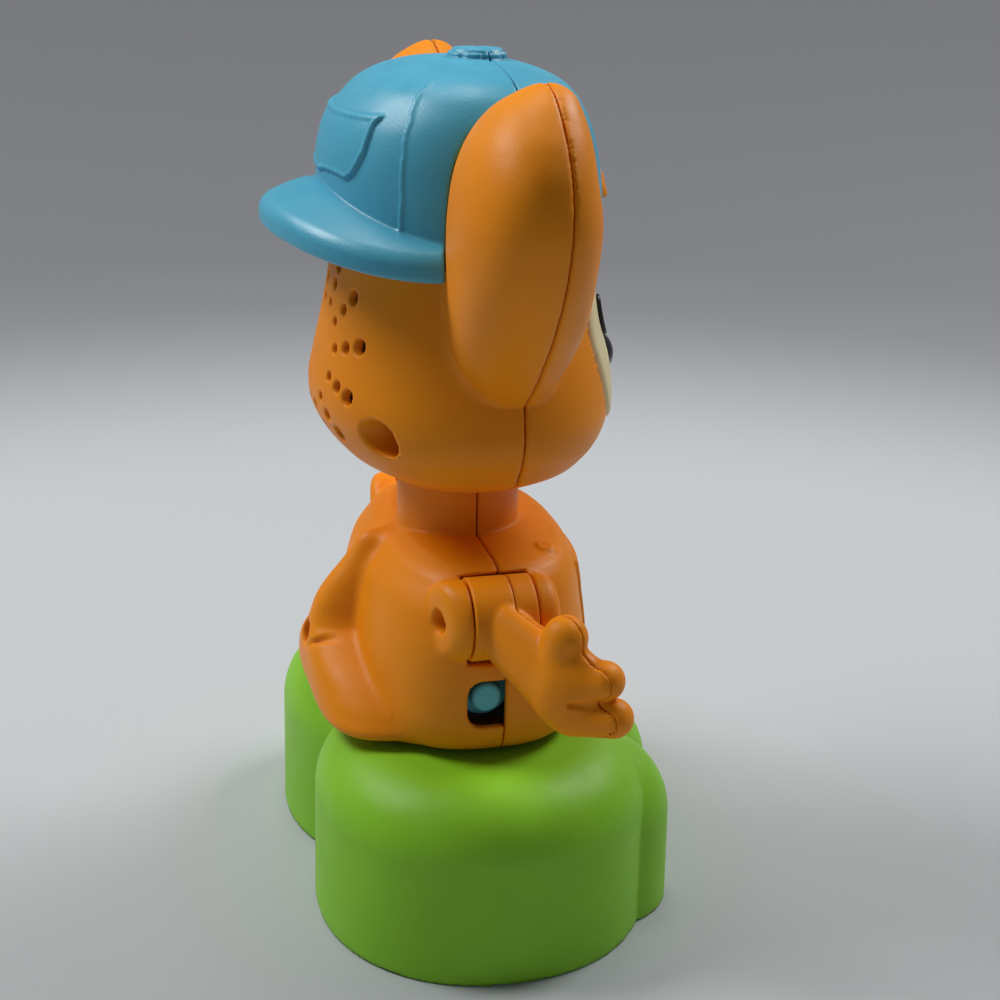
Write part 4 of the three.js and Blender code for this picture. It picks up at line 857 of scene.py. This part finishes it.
    def build(self) -> None:
        """Makes both shells."""
        x, z = SHOULDER
        body = self.outer()
        neck = drum(2, (0, 0), (70, self.neck_top), NECK_RADIUS, 0.4)
        form = body
        for part, fillet in ((self.tail_form(), 2.0), (on_both_sides(self.boss()), 0.9),
                             (self.bib(), 0.3), (self.paws(), 0.8), (neck, 0.9)):
            form = joined(form, part, k=fillet)
        slot_ends = (-self.slot_half, self.slot_half)
        cup = shared(drum(1, SHOULDER, (slot_ends[0] - WALL, slot_ends[1] + WALL), SWEPT + WALL), body)
        core = joined(body, neck, k=0.9)
        shell = joined(hollowed(core), without(form, core))
        shell = joined(shell, on_both_sides(joined(cup, self.boss())))
        slot = drum(1, SHOULDER, slot_ends, SWEPT)
        mouth = block((x, slot_ends[0], z - SWEPT), (x + 3 * KNUCKLE, slot_ends[1], z + SWEPT))
        past = self.rear_boss + 6
        pin = drum(1, SHOULDER, (-self.front_boss + WALL, past), PIN_BORE)
        depth, radius = self.pin_recess
        recess = drum(1, SHOULDER, (self.rear_boss - depth, past), radius)
        shell = without(shell, on_both_sides(joined(slot, mouth, pin)), k=0.25)
        shell = without(shell, on_both_sides(joined(recess, self.window())), k=0.5)
        shell = without(shell, drum(2, (0, 0), (80, 120), NECK_RADIUS - WALL))
        inner_end, outer_end, well_radius = self.screw_well
        screw = (0, self.screw_z)
        well = drum(1, screw, (inner_end, outer_end), well_radius)
        shell = joined(shell, shared(well, grown(form, -0.5)))
        shell = without(shell, drum(1, screw, (self.screw_recess[0], 60), self.screw_recess[1]), k=0.4)
        shell = without(shell, drum(1, screw, (10, 60), SCREW_BORE))
        shell = without(shell, drum(2, HARNESS, (self.floor - 4, self.floor + 4), HARNESS_BORE))
        moulded_halves("body", shell, self.parting, (-51, -34, 45), (51, 41, 109), self.step, ORANGE, BODY)


@dataclass
class Arm:
    """An arm in two halves: the knuckle that turns in the shoulder, the hand, thumb and two fingers."""

    half: float = 7.4
    parting: float = -2.1
    hand: Vec = (60.5, -10.0, 71.2)
    thickness: float = 12.5
    height: float = 24.0
    length: float = 24.5
    turn: float = 0.85  # the hand points this far forward of straight out, in radians
    thumb: float = 5.1
    finger: float = 5.0
    step: float = 0.5

    def point(self, along: float, up: float, out: float = 0.0) -> Vec:
        """A point of the left hand, in shares of its length and height."""
        c, s = math.cos(self.turn), math.sin(self.turn)
        return (self.hand[0] + c * along * self.length + s * out,
                self.hand[1] - s * along * self.length + c * out, self.hand[2] + up * self.height)

    def form(self) -> Solid:
        """The whole left arm."""
        x, z = SHOULDER
        thin = self.thickness / 2
        knuckle = drum(1, SHOULDER, (-self.half, self.half), KNUCKLE, 0.4)
        flat = thin / (self.height * .41)
        wrist, root = self.point(-.06, 0), (x + KNUCKLE * .8, 0.0, z - KNUCKLE * .2)
        ends = [(px, py, pz * flat) for px, py, pz in (root, wrist)]
        fore = squeezed(capsule(*ends, 4.9, thin), flat)
        palm = turned_ball(self.point(.08, -.02), (self.length * .32, thin * .97, self.height * .43),
                           -self.turn)
        thumb = capsule(self.point(-.04, .25), self.point(-.01, .47), self.thumb, self.thumb)
        fingers = [capsule(self.point(*near), self.point(*far), self.finger * 1.1, self.finger * .9)
                   for near, far in (((.12, .07), (.39, .13)), ((.1, -.25), (.49, -.22)))]
        whole = joined(fore, palm, k=3.0)
        whole = joined(whole, thumb, k=1.0)
        whole = joined(whole, joined(*fingers, k=0.4), k=1.2)
        crease = capsule(self.point(.16, -.07, thin * .9), self.point(.5, -.05, thin * .62), 0.6, 1.5)
        whole = without(whole, crease, k=0.8)
        bosses = ((self.half, 15.9), (-13.3, -self.half))
        beside = joined(*[drum(1, SHOULDER, ends, SWEPT) for ends in bosses])
        whole = without(whole, beside, k=0.3)
        whole = joined(whole, knuckle, k=1.0)
        whole = shared(whole, joined(lambda p: np.abs(p[1]) - self.half,
                                     lambda p: SWEPT - np.hypot(p[0] - x, p[2] - z)))
        return without(whole, drum(1, SHOULDER, (-20, 20), PIN_BORE))

    def rear_side(self) -> Solid:
        """The space behind the left arm's parting surface, which bends at the wrist."""
        wrist = SHOULDER[0] + KNUCKLE
        end = self.hand[0] + self.length
        far = self.parting - math.tan(self.turn) * (end - wrist) * 0.62
        slope = (far - self.parting) / (end - wrist)

        def distance(p: Array) -> Array:
            line = np.where(p[0] > wrist, self.parting + slope * (p[0] - wrist), self.parting)
            return (line - p[1]) / np.where(p[0] > wrist, math.hypot(1, slope), 1)
        return distance

    def build(self) -> None:
        """Makes both arms."""
        whole, behind = self.form(), self.rear_side()
        rear = shared(whole, grown(behind, -0.1), k=0.3)
        front = shared(whole, lambda p: -behind(p) + 0.1, k=0.3)
        low, high = (29, -25, 54), (78, 9, 96)
        for name, solid in (("arm_rear", rear), ("arm_front", front)):
            moulded_pair(name, solid, low, high, self.step, ORANGE, "arm", f"{name}_half")


@dataclass
class Plunger:
    """A blue plunger: a domed tip on a wider collar, on a stem that reaches the touch switch."""

    y: float = 2.8
    z: float = 60.8
    reach: float = 42.5
    tip: float = 3.6
    collar: float = 6.0
    stem: float = 1.9
    tip_length: float = 4.0
    collar_length: float = 2.6
    stem_end: float = 23.3
    step: float = 0.32

    def build(self) -> None:
        """Makes both plungers."""
        at = (self.y, self.z)
        back = self.reach - self.tip_length
        form = joined(drum(0, at, (back - .5, self.reach), self.tip, 1.1),
                      drum(0, at, (back - self.collar_length, back), self.collar, 0.5),
                      drum(0, at, (self.stem_end, back), self.stem, 0.3), k=0.3)
        low, high = (22, self.y - 7, self.z - 7), (44, self.y + 7, self.z + 7)
        moulded_pair("push_plunger", form, low, high, self.step, PLUNGER_BLUE, "plunger_body", "plunger")


@dataclass
class Ear:
    """A long ear: a flat drop that hangs beside the cap and runs into the cheek."""

    top: float = 200.5
    low: float = 130.3
    reach: float = 74.2
    root: float = 29.0
    half_depth: float = 14.9
    back_off: float = -0.45
    squareness: float = 2.25
    # Height share, outer and inner edge, depth, and how far the crest leans to the parting line.
    rows: tuple = ((0, .53, .53, 0, .78), (.06, .645, .44, .54, .45), (.16, .745, .4, .82, .2),
                   (.3, .86, .39, .965, .1), (.46, .955, .39, 1, 0), (.62, .998, .39, 1, 0),
                   (.75, .98, .4, .9, .03), (.84, .93, .45, .79, .2), (.92, .855, .52, .6, .5),
                   (.97, .79, .6, .38, .85), (1, .7, .7, 0, 1))

    def solid(self, swell: float = 0.0) -> Solid:
        """The left ear, grown by a little where a neighbour has to clear it."""
        rows = np.array(self.rows, float)
        angle = np.arccos(1 - 2 * rows[:, 0])
        fine = np.linspace(0, math.pi, 400)
        outer, inner, depth, crest = (profile_spline(angle, rows[:, i], fine) for i in range(1, 5))
        heights = self.low + (1 - np.cos(fine)) / 2 * (self.top - self.low)
        middle = (outer + inner) / 2 * self.reach
        half = np.maximum((outer - inner) / 2 * self.reach, 0.1)
        deep = np.maximum(depth * self.half_depth, 0.1)
        lean = crest * HEAD_PARTING

        def rough(p: Array) -> Array:
            z = np.clip(p[2], self.low, self.top)
            mid, a, b, y0 = (np.interp(z, heights, table) for table in (middle, half, deep, lean))
            ring = oval((p[0] - mid) / a, (p[1] - y0 - self.back_off) / b, self.squareness)
            side, past = (ring - 1) * np.minimum(a, b), np.abs(p[2] - z)
            return np.where(past > 0, np.hypot(np.maximum(side, 0), past), side)
        return grown(levelled(rough, steepest=1.3), swell)


@dataclass
class Crown:
    """The cap's crown, which the head's own top follows inside it."""

    low: float = 163.0
    height: float = 38.0
    sizes: Vec = (41.0, 33.3, 31.2)
    rows: tuple = ((0, 1.012, 1.006, 1.01), (.316, 1, 1, .987), (.526, .973, .967, .942),
                   (.658, .932, .917, .891), (.776, .868, .822, .817), (.868, .782, .708, .718),
                   (.932, .66, .555, .57), (.972, .48, .385, .4), (.992, .26, .21, .215), (1, 0, 0, 0))

    def solid(self) -> Solid:
        """The crown's outer form, from the hat line up."""
        return Loft(self.rows, self.low, self.height, self.sizes, 2.1, domed=True, edge=0.8).solid()


@dataclass
class Head:
    """The head: rear and front shells with the ears, and the face panel with its eyes and nose."""

    floor: float = 103.0
    hat_line: float = 163.0
    sizes: Vec = (43.8, 35.8, 35.0)
    holes_z: float = 134.0
    hole_arms: int = 12
    first_hole: float = 12.4
    hole_pitch: float = 4.9
    hole_radii: Vec = (1.2, 1.5, 1.85)
    screw: tuple[float, float] = (30.0, 121.0)
    well_radius: float = 4.3
    well_floor: float = 9.0
    eye_x: float = 12.5
    step: float = 0.8
    rows: tuple = ((0, .445, .46, .57), (.02, .525, .52, .63), (.047, .628, .575, .68),
                   (.075, .72, .648, .73), (.117, .847, .762, .8), (.167, .906, .85, .885),
                   (.225, .964, .925, .94), (.3, 1, .986, .98), (.383, .995, 1, .99),
                   (.5, .959, .966, .965), (.65, .905, .911, .89), (.833, .868, .857, .84),
                   (1.2, .84, .82, .82))
    ear: Ear = field(default_factory=Ear)

    def outer(self) -> Solid:
        """The head's form without its ears."""
        top = self.rows[-1][0]
        rows = [(up / top, *rest) for up, *rest in self.rows]
        height = (self.hat_line - self.floor) * top
        return Loft(rows, self.floor, height, self.sizes, 2.1, edge=0.8).solid()

    def speaker_holes(self) -> Solid:
        """Short arms of holes that grow outwards round the middle of the speaker."""
        holes = []
        for arm, (i, radius) in product(range(self.hole_arms), enumerate(self.hole_radii)):
            turn = 2 * math.pi * (arm + 0.5) / self.hole_arms
            out = self.first_hole + i * self.hole_pitch
            holes.append((out * math.cos(turn), self.holes_z + out * math.sin(turn), radius))

        def distance(p: Array) -> Array:
            nearest = np.min([np.hypot(p[0] - x, p[2] - z) - radius for x, z, radius in holes], 0)
            return np.maximum(nearest, 15 - p[1])
        return distance

    def face_patch(self, grow: float) -> Solid:
        """The oval that the face panel fills, seen from the front."""
        half, high, z, squareness = 27.0 + grow, 17.5 + grow, 134.5, 2.8
        return lambda p: np.maximum((oval(p[0] / half, (p[2] - z) / high, squareness) - 1) * high, p[1])

    def hair(self) -> Solid:
        """The lock of hair in the cap's opening: three tufts side by side."""
        sides = [ball((x, -23.6, 169.6), (5.6, 9.8, 8.0)) for x in (6.2, -6.2)]
        tufts = joined(ball((0, -24.5, 170.5), (6.4, 10.4, 9.4)), *sides, k=1.4)
        return shared(tufts, beyond(2, 169.8), beyond(1, -15.0, -1), k=0.4)

    def shell(self) -> Solid:
        """Both half shells as one hollow piece."""
        outer = self.outer()
        ears = on_both_sides(self.ear.solid())
        form = joined(outer, ears, k=4.0)
        skin = hollowed(form)
        x, z = self.screw
        well = on_both_sides(drum(1, (x, z), (self.well_floor - 1.8, 40), self.well_radius + 1.8))
        front_post = on_both_sides(drum(1, (x, z), (-40, self.well_floor - 2.1), SCREW_POST))
        socket = drum(2, (0, 0), (self.floor, 112.5), NECK_RADIUS + 4 * WALL)
        inner = shared(joined(well, front_post, socket), grown(form, -1.0))
        shell = joined(skin, inner)
        shell = without(shell, self.speaker_holes(), k=0.5)
        recess = on_both_sides(drum(1, (x, z), (self.well_floor, 60), self.well_radius))
        shell = without(shell, recess, k=0.7)
        shell = without(shell, on_both_sides(drum(1, (x, z), (-5, 60), SCREW_BORE)),
                        drum(2, (0, 0), (90, 120), NECK_RADIUS + GAP), k=0.3)
        return without(shell, drum(2, (0, 0), (107.5, 110.7), NECK_RADIUS + 2 * WALL + GAP))

    def build(self) -> None:
        """Makes the shells and the face."""
        rear, front = halves(self.shell(), HEAD_PARTING)
        outer = self.outer()
        pocket = shared(self.face_patch(GAP), lambda p: -outer(p) - 1.4)
        front = joined(without(front, pocket, k=0.3), self.hair())
        low, high = (-76, -38, 102), (76, 38, 203)
        holes = Dense((-25, 14, 109), (25, 38, 159), 0.45)
        moulded("head_rear", rear, (low[0], HEAD_PARTING - 1, low[2]), high, self.step, ORANGE, HEAD,
                "head_rear_shell", dense=holes)
        moulded("head_front", front, low, (high[0], 8, high[2]), self.step, ORANGE, HEAD,
                "head_front_shell")
        panel = shared(grown(outer, 0.7), self.face_patch(0.0), lambda p: -outer(p) - 1.1, k=0.8)
        moulded("face", panel, (-29, -38, 115), (29, -18, 154), 0.6, CREAM, HEAD, "face_panel")
        for side in Side:
            x = side.value * self.eye_x
            lens = ball((x, -30, 143), (3.4, 30, 5.0))
            eye = shared(grown(outer, 1.8), lens, lambda p: -outer(p) + 0.7, k=0.9)
            moulded(f"{side.label}_eye_lens", eye, (x - 5, -37, 136), (x + 5, -22, 150), 0.35, BLACK, HEAD,
                    f"{side.label}_eye")
        nose = without(ball((0, -31.4, 130.5), (7.5, 7.0, 6.5)), grown(outer, 0.9), k=0.2)
        moulded("nose_cap", nose, (-9, -40, 122), (9, -28, 139), 0.4, BLACK, HEAD, "nose")


@dataclass
class Cap:
    """The cap, worn backwards: rear shell with the brim and badge, front shell with the opening."""

    crown: Crown = field(default_factory=Crown)
    ear: Ear = field(default_factory=Ear)
    head: Head = field(default_factory=Head)
    brim_half: float = 44.0
    brim_reach: float = 46.8
    brim_centre: float = 12.0
    brim_thickness: float = 6.2
    rear_z: float = 174.0
    side_z: float = 165.5
    drop: float = 5.0
    button: tuple[float, float, float] = (6.8, -3.1, 202.9)
    arch: tuple[float, float] = (12.5, 6.5)
    step: float = 0.55

    def brim(self) -> Solid:
        """The brim: a thick curved plate with a round lip, lower at the sides than at the rear."""
        depth = self.brim_reach - self.brim_centre

        def rough(p: Array) -> Array:
            y = np.maximum(p[1] - self.brim_centre, 0) / depth
            ring = np.hypot(p[0] / self.brim_half, y)
            outline = (ring - 1) * 38
            x1, y1 = p[0] / self.brim_half, np.maximum(p[1], 0.01) / self.brim_reach
            rise = np.clip((y1 / np.hypot(x1, y1) - 0.25) / 0.75, 0, 1)
            width = 4 + 9.5 * rise
            out = np.clip(1 + outline / width, 0, 1.2)
            top = self.side_z + (self.rear_z - self.side_z) * rise ** 1.5
            top = top - self.drop * (0.4 + 0.6 * rise) * out ** 1.5
            middle = top - self.brim_thickness / 2
            flat = np.abs(p[2] - middle) - self.brim_thickness / 2
            return rounded_pair(outline, flat, 2.3)
        return shared(levelled(rough), beyond(1, 3.0))

    def badge(self) -> Solid:
        """The plain raised shield on the panel above the brim, with a fine rim along its edge."""
        low, high = 176.3, 190.3
        crown = self.crown.solid()

        def rough(p: Array) -> Array:
            half = np.interp(p[2], (176, 177, 178.2, 180.7, 183.4, 187, 189.2, 190.8),
                             (14, 18.2, 20.4, 21.9, 23.0, 22.9, 22.6, 23.4))
            ceiling = p[2] - (high + 0.5 * (np.abs(p[0]) / 22) ** 4)
            floor = low + 1.1 * np.abs(np.sin(2 * math.pi * p[0] / 42)) - p[2]
            return np.max([np.abs(p[0]) - half, ceiling, floor, 5 - p[1]], 0)
        patch = levelled(rough)
        plate = shared(grown(crown, 0.55), patch, k=0.25)
        rim = shared(grown(crown, 0.85), lambda p: np.abs(patch(p) + 0.45) - 0.4, k=0.3)
        return joined(plate, rim, k=0.3)

    def panel_line(self) -> Solid:
        """The fine raised line down each side of the crown, where a sewn cap has a seam."""
        raised = grown(self.crown.solid(), 0.4)

        def strip(p: Array) -> Array:
            at = np.interp(p[2], (168, 174, 183.4, 190.2, 196.9, 199.5),
                           (32.75, 32.8, 31.6, 29.5, 24.8, 20.5))
            return np.max([np.abs(np.abs(p[0]) - at) - 0.3, 5 - p[1], p[2] - 198], 0)
        return shared(raised, strip, k=0.5)

    def top_button(self) -> Solid:
        """The flat button on the crown, with a stepped rim that is notched all round."""
        radius, y, top = self.button
        core = drum(2, (0, y), (top - 5, top), radius - 1.0, 0.35)

        def rim(p: Array) -> Array:
            turn = np.arctan2(p[1] - y, p[0])
            reach = radius - 0.45 * np.clip(np.cos(8 * turn) * 3 - 1.6, 0, 1)
            return rounded_pair(np.hypot(p[0], p[1] - y) - reach, np.abs(p[2] - top + 3) - 2.2, 0.4)
        return joined(core, rim, k=0.4)

    def build(self) -> None:
        """Makes both shells of the cap."""
        crown = self.crown.solid()
        whole = crown
        for part, fillet in ((self.badge(), 0.2), (self.panel_line(), 0.3), (self.brim(), 0.9),
                             (self.top_button(), 0.4)):
            whole = joined(whole, part, k=fillet)
        inside = joined(grown(crown, -WALL), grown(self.head.outer(), GAP))
        whole = without(whole, inside, k=0.3)
        whole = without(whole, on_both_sides(self.ear.solid(GAP)), k=0.3)
        reach, lift = self.arch
        z0 = self.crown.low + lift
        arch = shared(drum(1, (0, z0), (-60, -12), reach), beyond(2, z0))
        whole = without(whole, arch, k=0.6)
        moulded_halves("cap", whole, HEAD_PARTING, (-46, -34, 155), (46, 49, 207), self.step, BLUE, HEAD)


@dataclass
class Screws:
    """Pan-head screws with a cross recess, placed by Geometry Nodes where the CAD screws sit.

    Every screw is the same head and shank, set on a point that carries its aim and its length, so
    one tree makes them all.
    """

    head: float = 2.9 * MM
    head_height: float = 1.7 * MM
    recess: float = 0.75 * MM
    recess_share: float = 1.15  # the recess's length, as a share of the head's radius
    top_share: float = 0.78  # the head's radius at its flat top, as a share of the rim's
    # The body, its screws, their aim, the shank's radius and how much deeper they sit than in the
    # CAD, in millimetres.
    groups: tuple = (
        (BODY, tuple(f"base_screw_{i}" for i in (1, 2, 3, 4)), (0.0, 0.0, 1.0), 1.3, 0),
        (BODY, ("body_screw",), (0.0, -1.0, 0.0), 1.3, 0),
        (BODY, ("right_shoulder_screw", "left_shoulder_screw"), (0.0, -1.0, 0.0), 2.0, 3.5),
        (HEAD, ("right_head_screw", "left_head_screw"), (0.0, -1.0, 0.0), 1.3, 0),
    )

    def tree(self) -> NodeTree:
        """The node tree, with the head's sizes and the finish as its inputs."""
        tree = bpy.data.node_groups.new("cross_recess_screws", "GeometryNodeTree")
        face = tree.interface
        face.new_socket("Points", in_out="INPUT", socket_type="NodeSocketGeometry")
        for name in ("Head radius", "Head height", "Recess width"):
            face.new_socket(name, in_out="INPUT", socket_type="NodeSocketFloat")
        face.new_socket("Finish", in_out="INPUT", socket_type="NodeSocketMaterial")
        face.new_socket("Screws", in_out="OUTPUT", socket_type="NodeSocketGeometry")
        given = add(tree, "NodeGroupInput").outputs
        top, long = (add(tree, "ShaderNodeMath", {"operation": "MULTIPLY", 0: given["Head radius"],
                                                  1: share}).outputs[0]
                     for share in (self.top_share, self.recess_share))
        cone = add(tree, "GeometryNodeMeshCone", {"Vertices": 40}, Radius_Top=top,
                   Radius_Bottom=given["Head radius"], Depth=given["Head height"])
        bars = []
        for x, y in ((long, given["Recess width"]), (given["Recess width"], long)):
            size = add(tree, "ShaderNodeCombineXYZ", X=x, Y=y, Z=given["Head height"])
            bars.append(add(tree, "GeometryNodeMeshCube", Size=size.outputs["Vector"]).outputs["Mesh"])
        cross = add(tree, "GeometryNodeMeshBoolean", {"operation": "UNION"}, Mesh_2=bars)
        lift = add(tree, "ShaderNodeCombineXYZ", Z=given["Head height"])
        raised = add(tree, "GeometryNodeTransform", Geometry=cross.outputs["Mesh"],
                     Translation=lift.outputs["Vector"])
        cut = add(tree, "GeometryNodeMeshBoolean", {"operation": "DIFFERENCE"},
                  Mesh_1=cone.outputs["Mesh"], Mesh_2=raised.outputs["Geometry"])
        head = add(tree, "GeometryNodeTransform", {"Rotation": (math.pi, 0.0, 0.0)},
                   Geometry=cut.outputs["Mesh"])
        rod = add(tree, "GeometryNodeMeshCylinder", {"Vertices": 32, "Radius": 1.0, "Depth": 1.0})
        shank = add(tree, "GeometryNodeTransform", {"Translation": (0.0, 0.0, 0.5)},
                    Geometry=rod.outputs["Mesh"])
        aim = add(tree, "GeometryNodeInputNamedAttribute", {"data_type": "FLOAT_VECTOR", "Name": "aim"})
        size = add(tree, "GeometryNodeInputNamedAttribute", {"data_type": "FLOAT_VECTOR",
                                                             "Name": "shank"})
        turn = add(tree, "FunctionNodeAlignRotationToVector", {"axis": "Z"},
                   Vector=aim.outputs["Attribute"])
        heads = add(tree, "GeometryNodeInstanceOnPoints", Points=given["Points"],
                    Instance=head.outputs["Geometry"], Rotation=turn.outputs["Rotation"])
        shanks = add(tree, "GeometryNodeInstanceOnPoints", Points=given["Points"],
                     Instance=shank.outputs["Geometry"], Rotation=turn.outputs["Rotation"],
                     Scale=size.outputs["Attribute"])
        all_parts = add(tree, "GeometryNodeJoinGeometry",
                        Geometry=[heads.outputs["Instances"], shanks.outputs["Instances"]])
        real = add(tree, "GeometryNodeRealizeInstances", Geometry=all_parts.outputs["Geometry"])
        dressed = add(tree, "GeometryNodeSetMaterial", Geometry=real.outputs["Geometry"],
                      Material=given["Finish"])
        add(tree, "NodeGroupOutput", Screws=dressed.outputs["Geometry"])
        return tree

    def build(self) -> None:
        """Makes the screws of each body as one piece."""
        tree = self.tree()
        for body in (BODY, HEAD):
            points, aims, shanks, nodes = [], [], [], []
            for owner, names, aim, radius, sunk in self.groups:
                if owner != body:
                    continue
                for name in names:
                    low, high = (Vector(corner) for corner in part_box(name))
                    way = Vector(aim)
                    middle, half = (low + high) / 2, (high - low) / 2
                    reach = abs(half.dot(way))
                    seat = middle - way * (reach - self.head_height - sunk * MM)
                    points.append(tuple(seat))
                    aims.append(aim)
                    shanks.append((radius * MM, radius * MM, 2 * reach - self.head_height - sunk * MM))
                    nodes.append(name)
            name = f"{body}_screws"
            mesh = bpy.data.meshes.new(name)
            mesh.from_pydata(points, [], [])
            for title, values in (("aim", aims), ("shank", shanks)):
                layer = mesh.attributes.new(title, "FLOAT_VECTOR", "POINT")
                layer.data.foreach_set("vector", np.array(values, np.float32).ravel())
            piece = linked(name, mesh)
            modifier = piece.modifiers.new("screws", "NODES")
            modifier.node_group = tree
            sockets = {item.name: item.identifier for item in tree.interface.items_tree
                       if item.item_type == "SOCKET" and item.in_out == "INPUT"}
            for title, value in (("Head radius", self.head), ("Head height", self.head_height),
                                 ("Recess width", self.recess), ("Finish", STEEL.material())):
                modifier[sockets[title]] = value
            view = bpy.context.evaluated_depsgraph_get()
            plain = bpy.data.meshes.new_from_object(piece.evaluated_get(view))
            piece.modifiers.remove(modifier)
            piece.data = plain
            settle_on(piece, body, "steel", *nodes)
            LOG.info("%s: %d faces", name, len(plain.polygons))


@dataclass
class Insides:
    """What the shells hold: it keeps its CAD form and gets its finish here."""

    finishes: tuple = (
        (DARK_GREEN, ("base_plate", "battery_door")),
        (DARK, ("speaker", "sound_chip", "capacitor", "switch_housing", "switch_slider",
                "right_touch_switch", "left_touch_switch")),
        (GREY, ("plunger_bracket", "neck_turntable", "speaker_clamp")),
        (STEEL, ("battery_springs", "battery_contacts", "right_plunger_spring", "left_plunger_spring")),
        (CELL, ("battery_1", "battery_2", "battery_3")),
        (BOARD, ("circuit_board", "switch_board")),
        (WIRE, ("body_wire", "speaker_wire")),
    )

    def dress(self) -> None:
        """Gives each node its finish."""
        for finish, names in self.finishes:
            for node in (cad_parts[name] for name in names):
                if node.material_slots:
                    node.material_slots[0].material = finish.material()
                else:
                    node.data.materials.append(finish.material())


# The studio


@dataclass
class Studio:
    """The floor, the backdrop, the lights and the camera at the photograph's angle."""

    image: float = 1000.0
    focal: float = 1740.0  # pixels
    sensor: float = 36.0
    azimuth: float = 254.6
    pitch: float = 19.3
    roll: float = 1.3
    distance: float = 429.6
    target: Vec = (0.0, 0.0, 94.4)
    target_pixel: float = 457.5

    def camera(self) -> None:
        """Sets the camera."""
        a, p, r = (math.radians(v) for v in (self.azimuth, self.pitch, self.roll))
        back = Vector((math.sin(a) * math.cos(p), -math.cos(a) * math.cos(p), math.sin(p)))
        right = (-back).cross(Vector((0, 0, 1))).normalized()
        up = right.cross(-back)
        right, up = math.cos(r) * right + math.sin(r) * up, math.cos(r) * up - math.sin(r) * right
        aside = (self.image / 2 - self.target_pixel) / self.focal * self.distance
        place = (Vector(self.target) + back * self.distance + right * aside) * MM
        data = bpy.data.cameras.new("camera")
        data.lens = self.focal / self.image * self.sensor
        data.sensor_width = self.sensor
        data.clip_start = 0.01
        camera = linked("camera", data)
        camera.matrix_world = Matrix((
            (right.x, up.x, back.x, place.x), (right.y, up.y, back.y, place.y),
            (right.z, up.z, back.z, place.z), (0, 0, 0, 1)))
        bpy.context.scene.camera = camera

    def sweep(self) -> None:
        """A floor that curves up into a backdrop behind the toy, all round."""
        turns, steps = 96, 16
        flat, bend, top, centre = 0.75, 0.35, 1.6, 0.02
        rings = [(centre, 0.0), (flat, 0.0)]
        for i in range(1, steps + 1):
            angle = i / steps * math.pi / 2
            rings.append((flat + bend * math.sin(angle), bend * (1 - math.cos(angle))))
        rings.append((flat + bend, top))
        vertices, faces = [], []
        for (radius, z), i in product(rings, range(turns)):
            turn = 2 * math.pi * i / turns
            vertices.append((radius * math.cos(turn), radius * math.sin(turn), z))
        for ring in range(len(rings) - 1):
            for i in range(turns):
                a, b = ring * turns + i, ring * turns + (i + 1) % turns
                faces.append((a, b, b + turns, a + turns))
        mesh = bpy.data.meshes.new("studio_sweep")
        mesh.from_pydata(vertices, [], faces + [tuple(range(turns))[::-1]])
        mesh.polygons.foreach_set("use_smooth", np.full(len(mesh.polygons), True))
        mesh.materials.append(self.paper())
        linked("studio_sweep", mesh)

    def paper(self) -> bpy.types.Material:
        """Matt backdrop paper, pale round the toy, with painted shade that makes it greyer farther off."""
        material = bpy.data.materials.new("backdrop_paper")
        material.use_nodes = True
        tree = material.node_tree
        shader = tree.nodes["Principled BSDF"]
        shader.inputs["Roughness"].default_value = 0.9
        shader.inputs["Specular IOR Level"].default_value = 0.1
        place = add(tree, "ShaderNodeTexCoord").outputs["Object"]
        away = add(tree, "ShaderNodeVectorMath", {"operation": "LENGTH", 0: place})
        share = add(tree, "ShaderNodeMapRange", {"From Min": 0.3, "From Max": 0.64,
                                                 "interpolation_type": "SMOOTHSTEP"},
                    Value=away.outputs["Value"])
        # Painted shade: the paper greys with distance from the toy, in place of light falling off.
        ramp = add(tree, "ShaderNodeValToRGB", Fac=share.outputs["Result"])
        for stop, colour in zip(ramp.color_ramp.elements, ("#bcc0c2", "#919296")):
            stop.color = linear(colour)
        tree.links.new(ramp.outputs["Color"], shader.inputs["Base Color"])
        return material

    def lights(self) -> None:
        """Soft light from both sides and from above, with little from where the camera stands."""
        for name, at, size, power in (("rear_softbox", (0.3, 0.62, 0.85), 0.45, 6.6),
                                      ("front_softbox", (0.22, -0.66, 0.8), 0.45, 5.4),
                                      ("overhead_softbox", (0.3, 0.05, 1.15), 0.5, 3.0)):
            data = bpy.data.lights.new(name, "AREA")
            data.shape = "DISK"
            data.size = size
            data.energy = power
            lamp = linked(name, data)
            lamp.location = at
            aim = Vector((0, 0, 0.1)) - Vector(at)
            lamp.rotation_euler = aim.to_track_quat("-Z", "Y").to_euler()
        world = bpy.data.worlds.new("studio_world")
        world.use_nodes = True
        background = world.node_tree.nodes["Background"]
        background.inputs["Color"].default_value = linear("#dfe4e8")
        background.inputs["Strength"].default_value = 0.12
        bpy.context.scene.world = world

    def build(self) -> None:
        """Sets the whole studio."""
        self.camera()
        self.sweep()
        self.lights()
        bpy.context.scene.view_settings.view_transform = "Standard"


def main() -> None:
    """Builds the toy around the frame, in order."""
    logging.basicConfig(level=logging.INFO, format="%(message)s")
    Studio().build()
    for assembly in (Base(), Torso(), Arm(), Plunger(), Head(), Cap(), Screws()):
        assembly.build()
    Insides().dress()


if __name__ == "__main__":
    main()
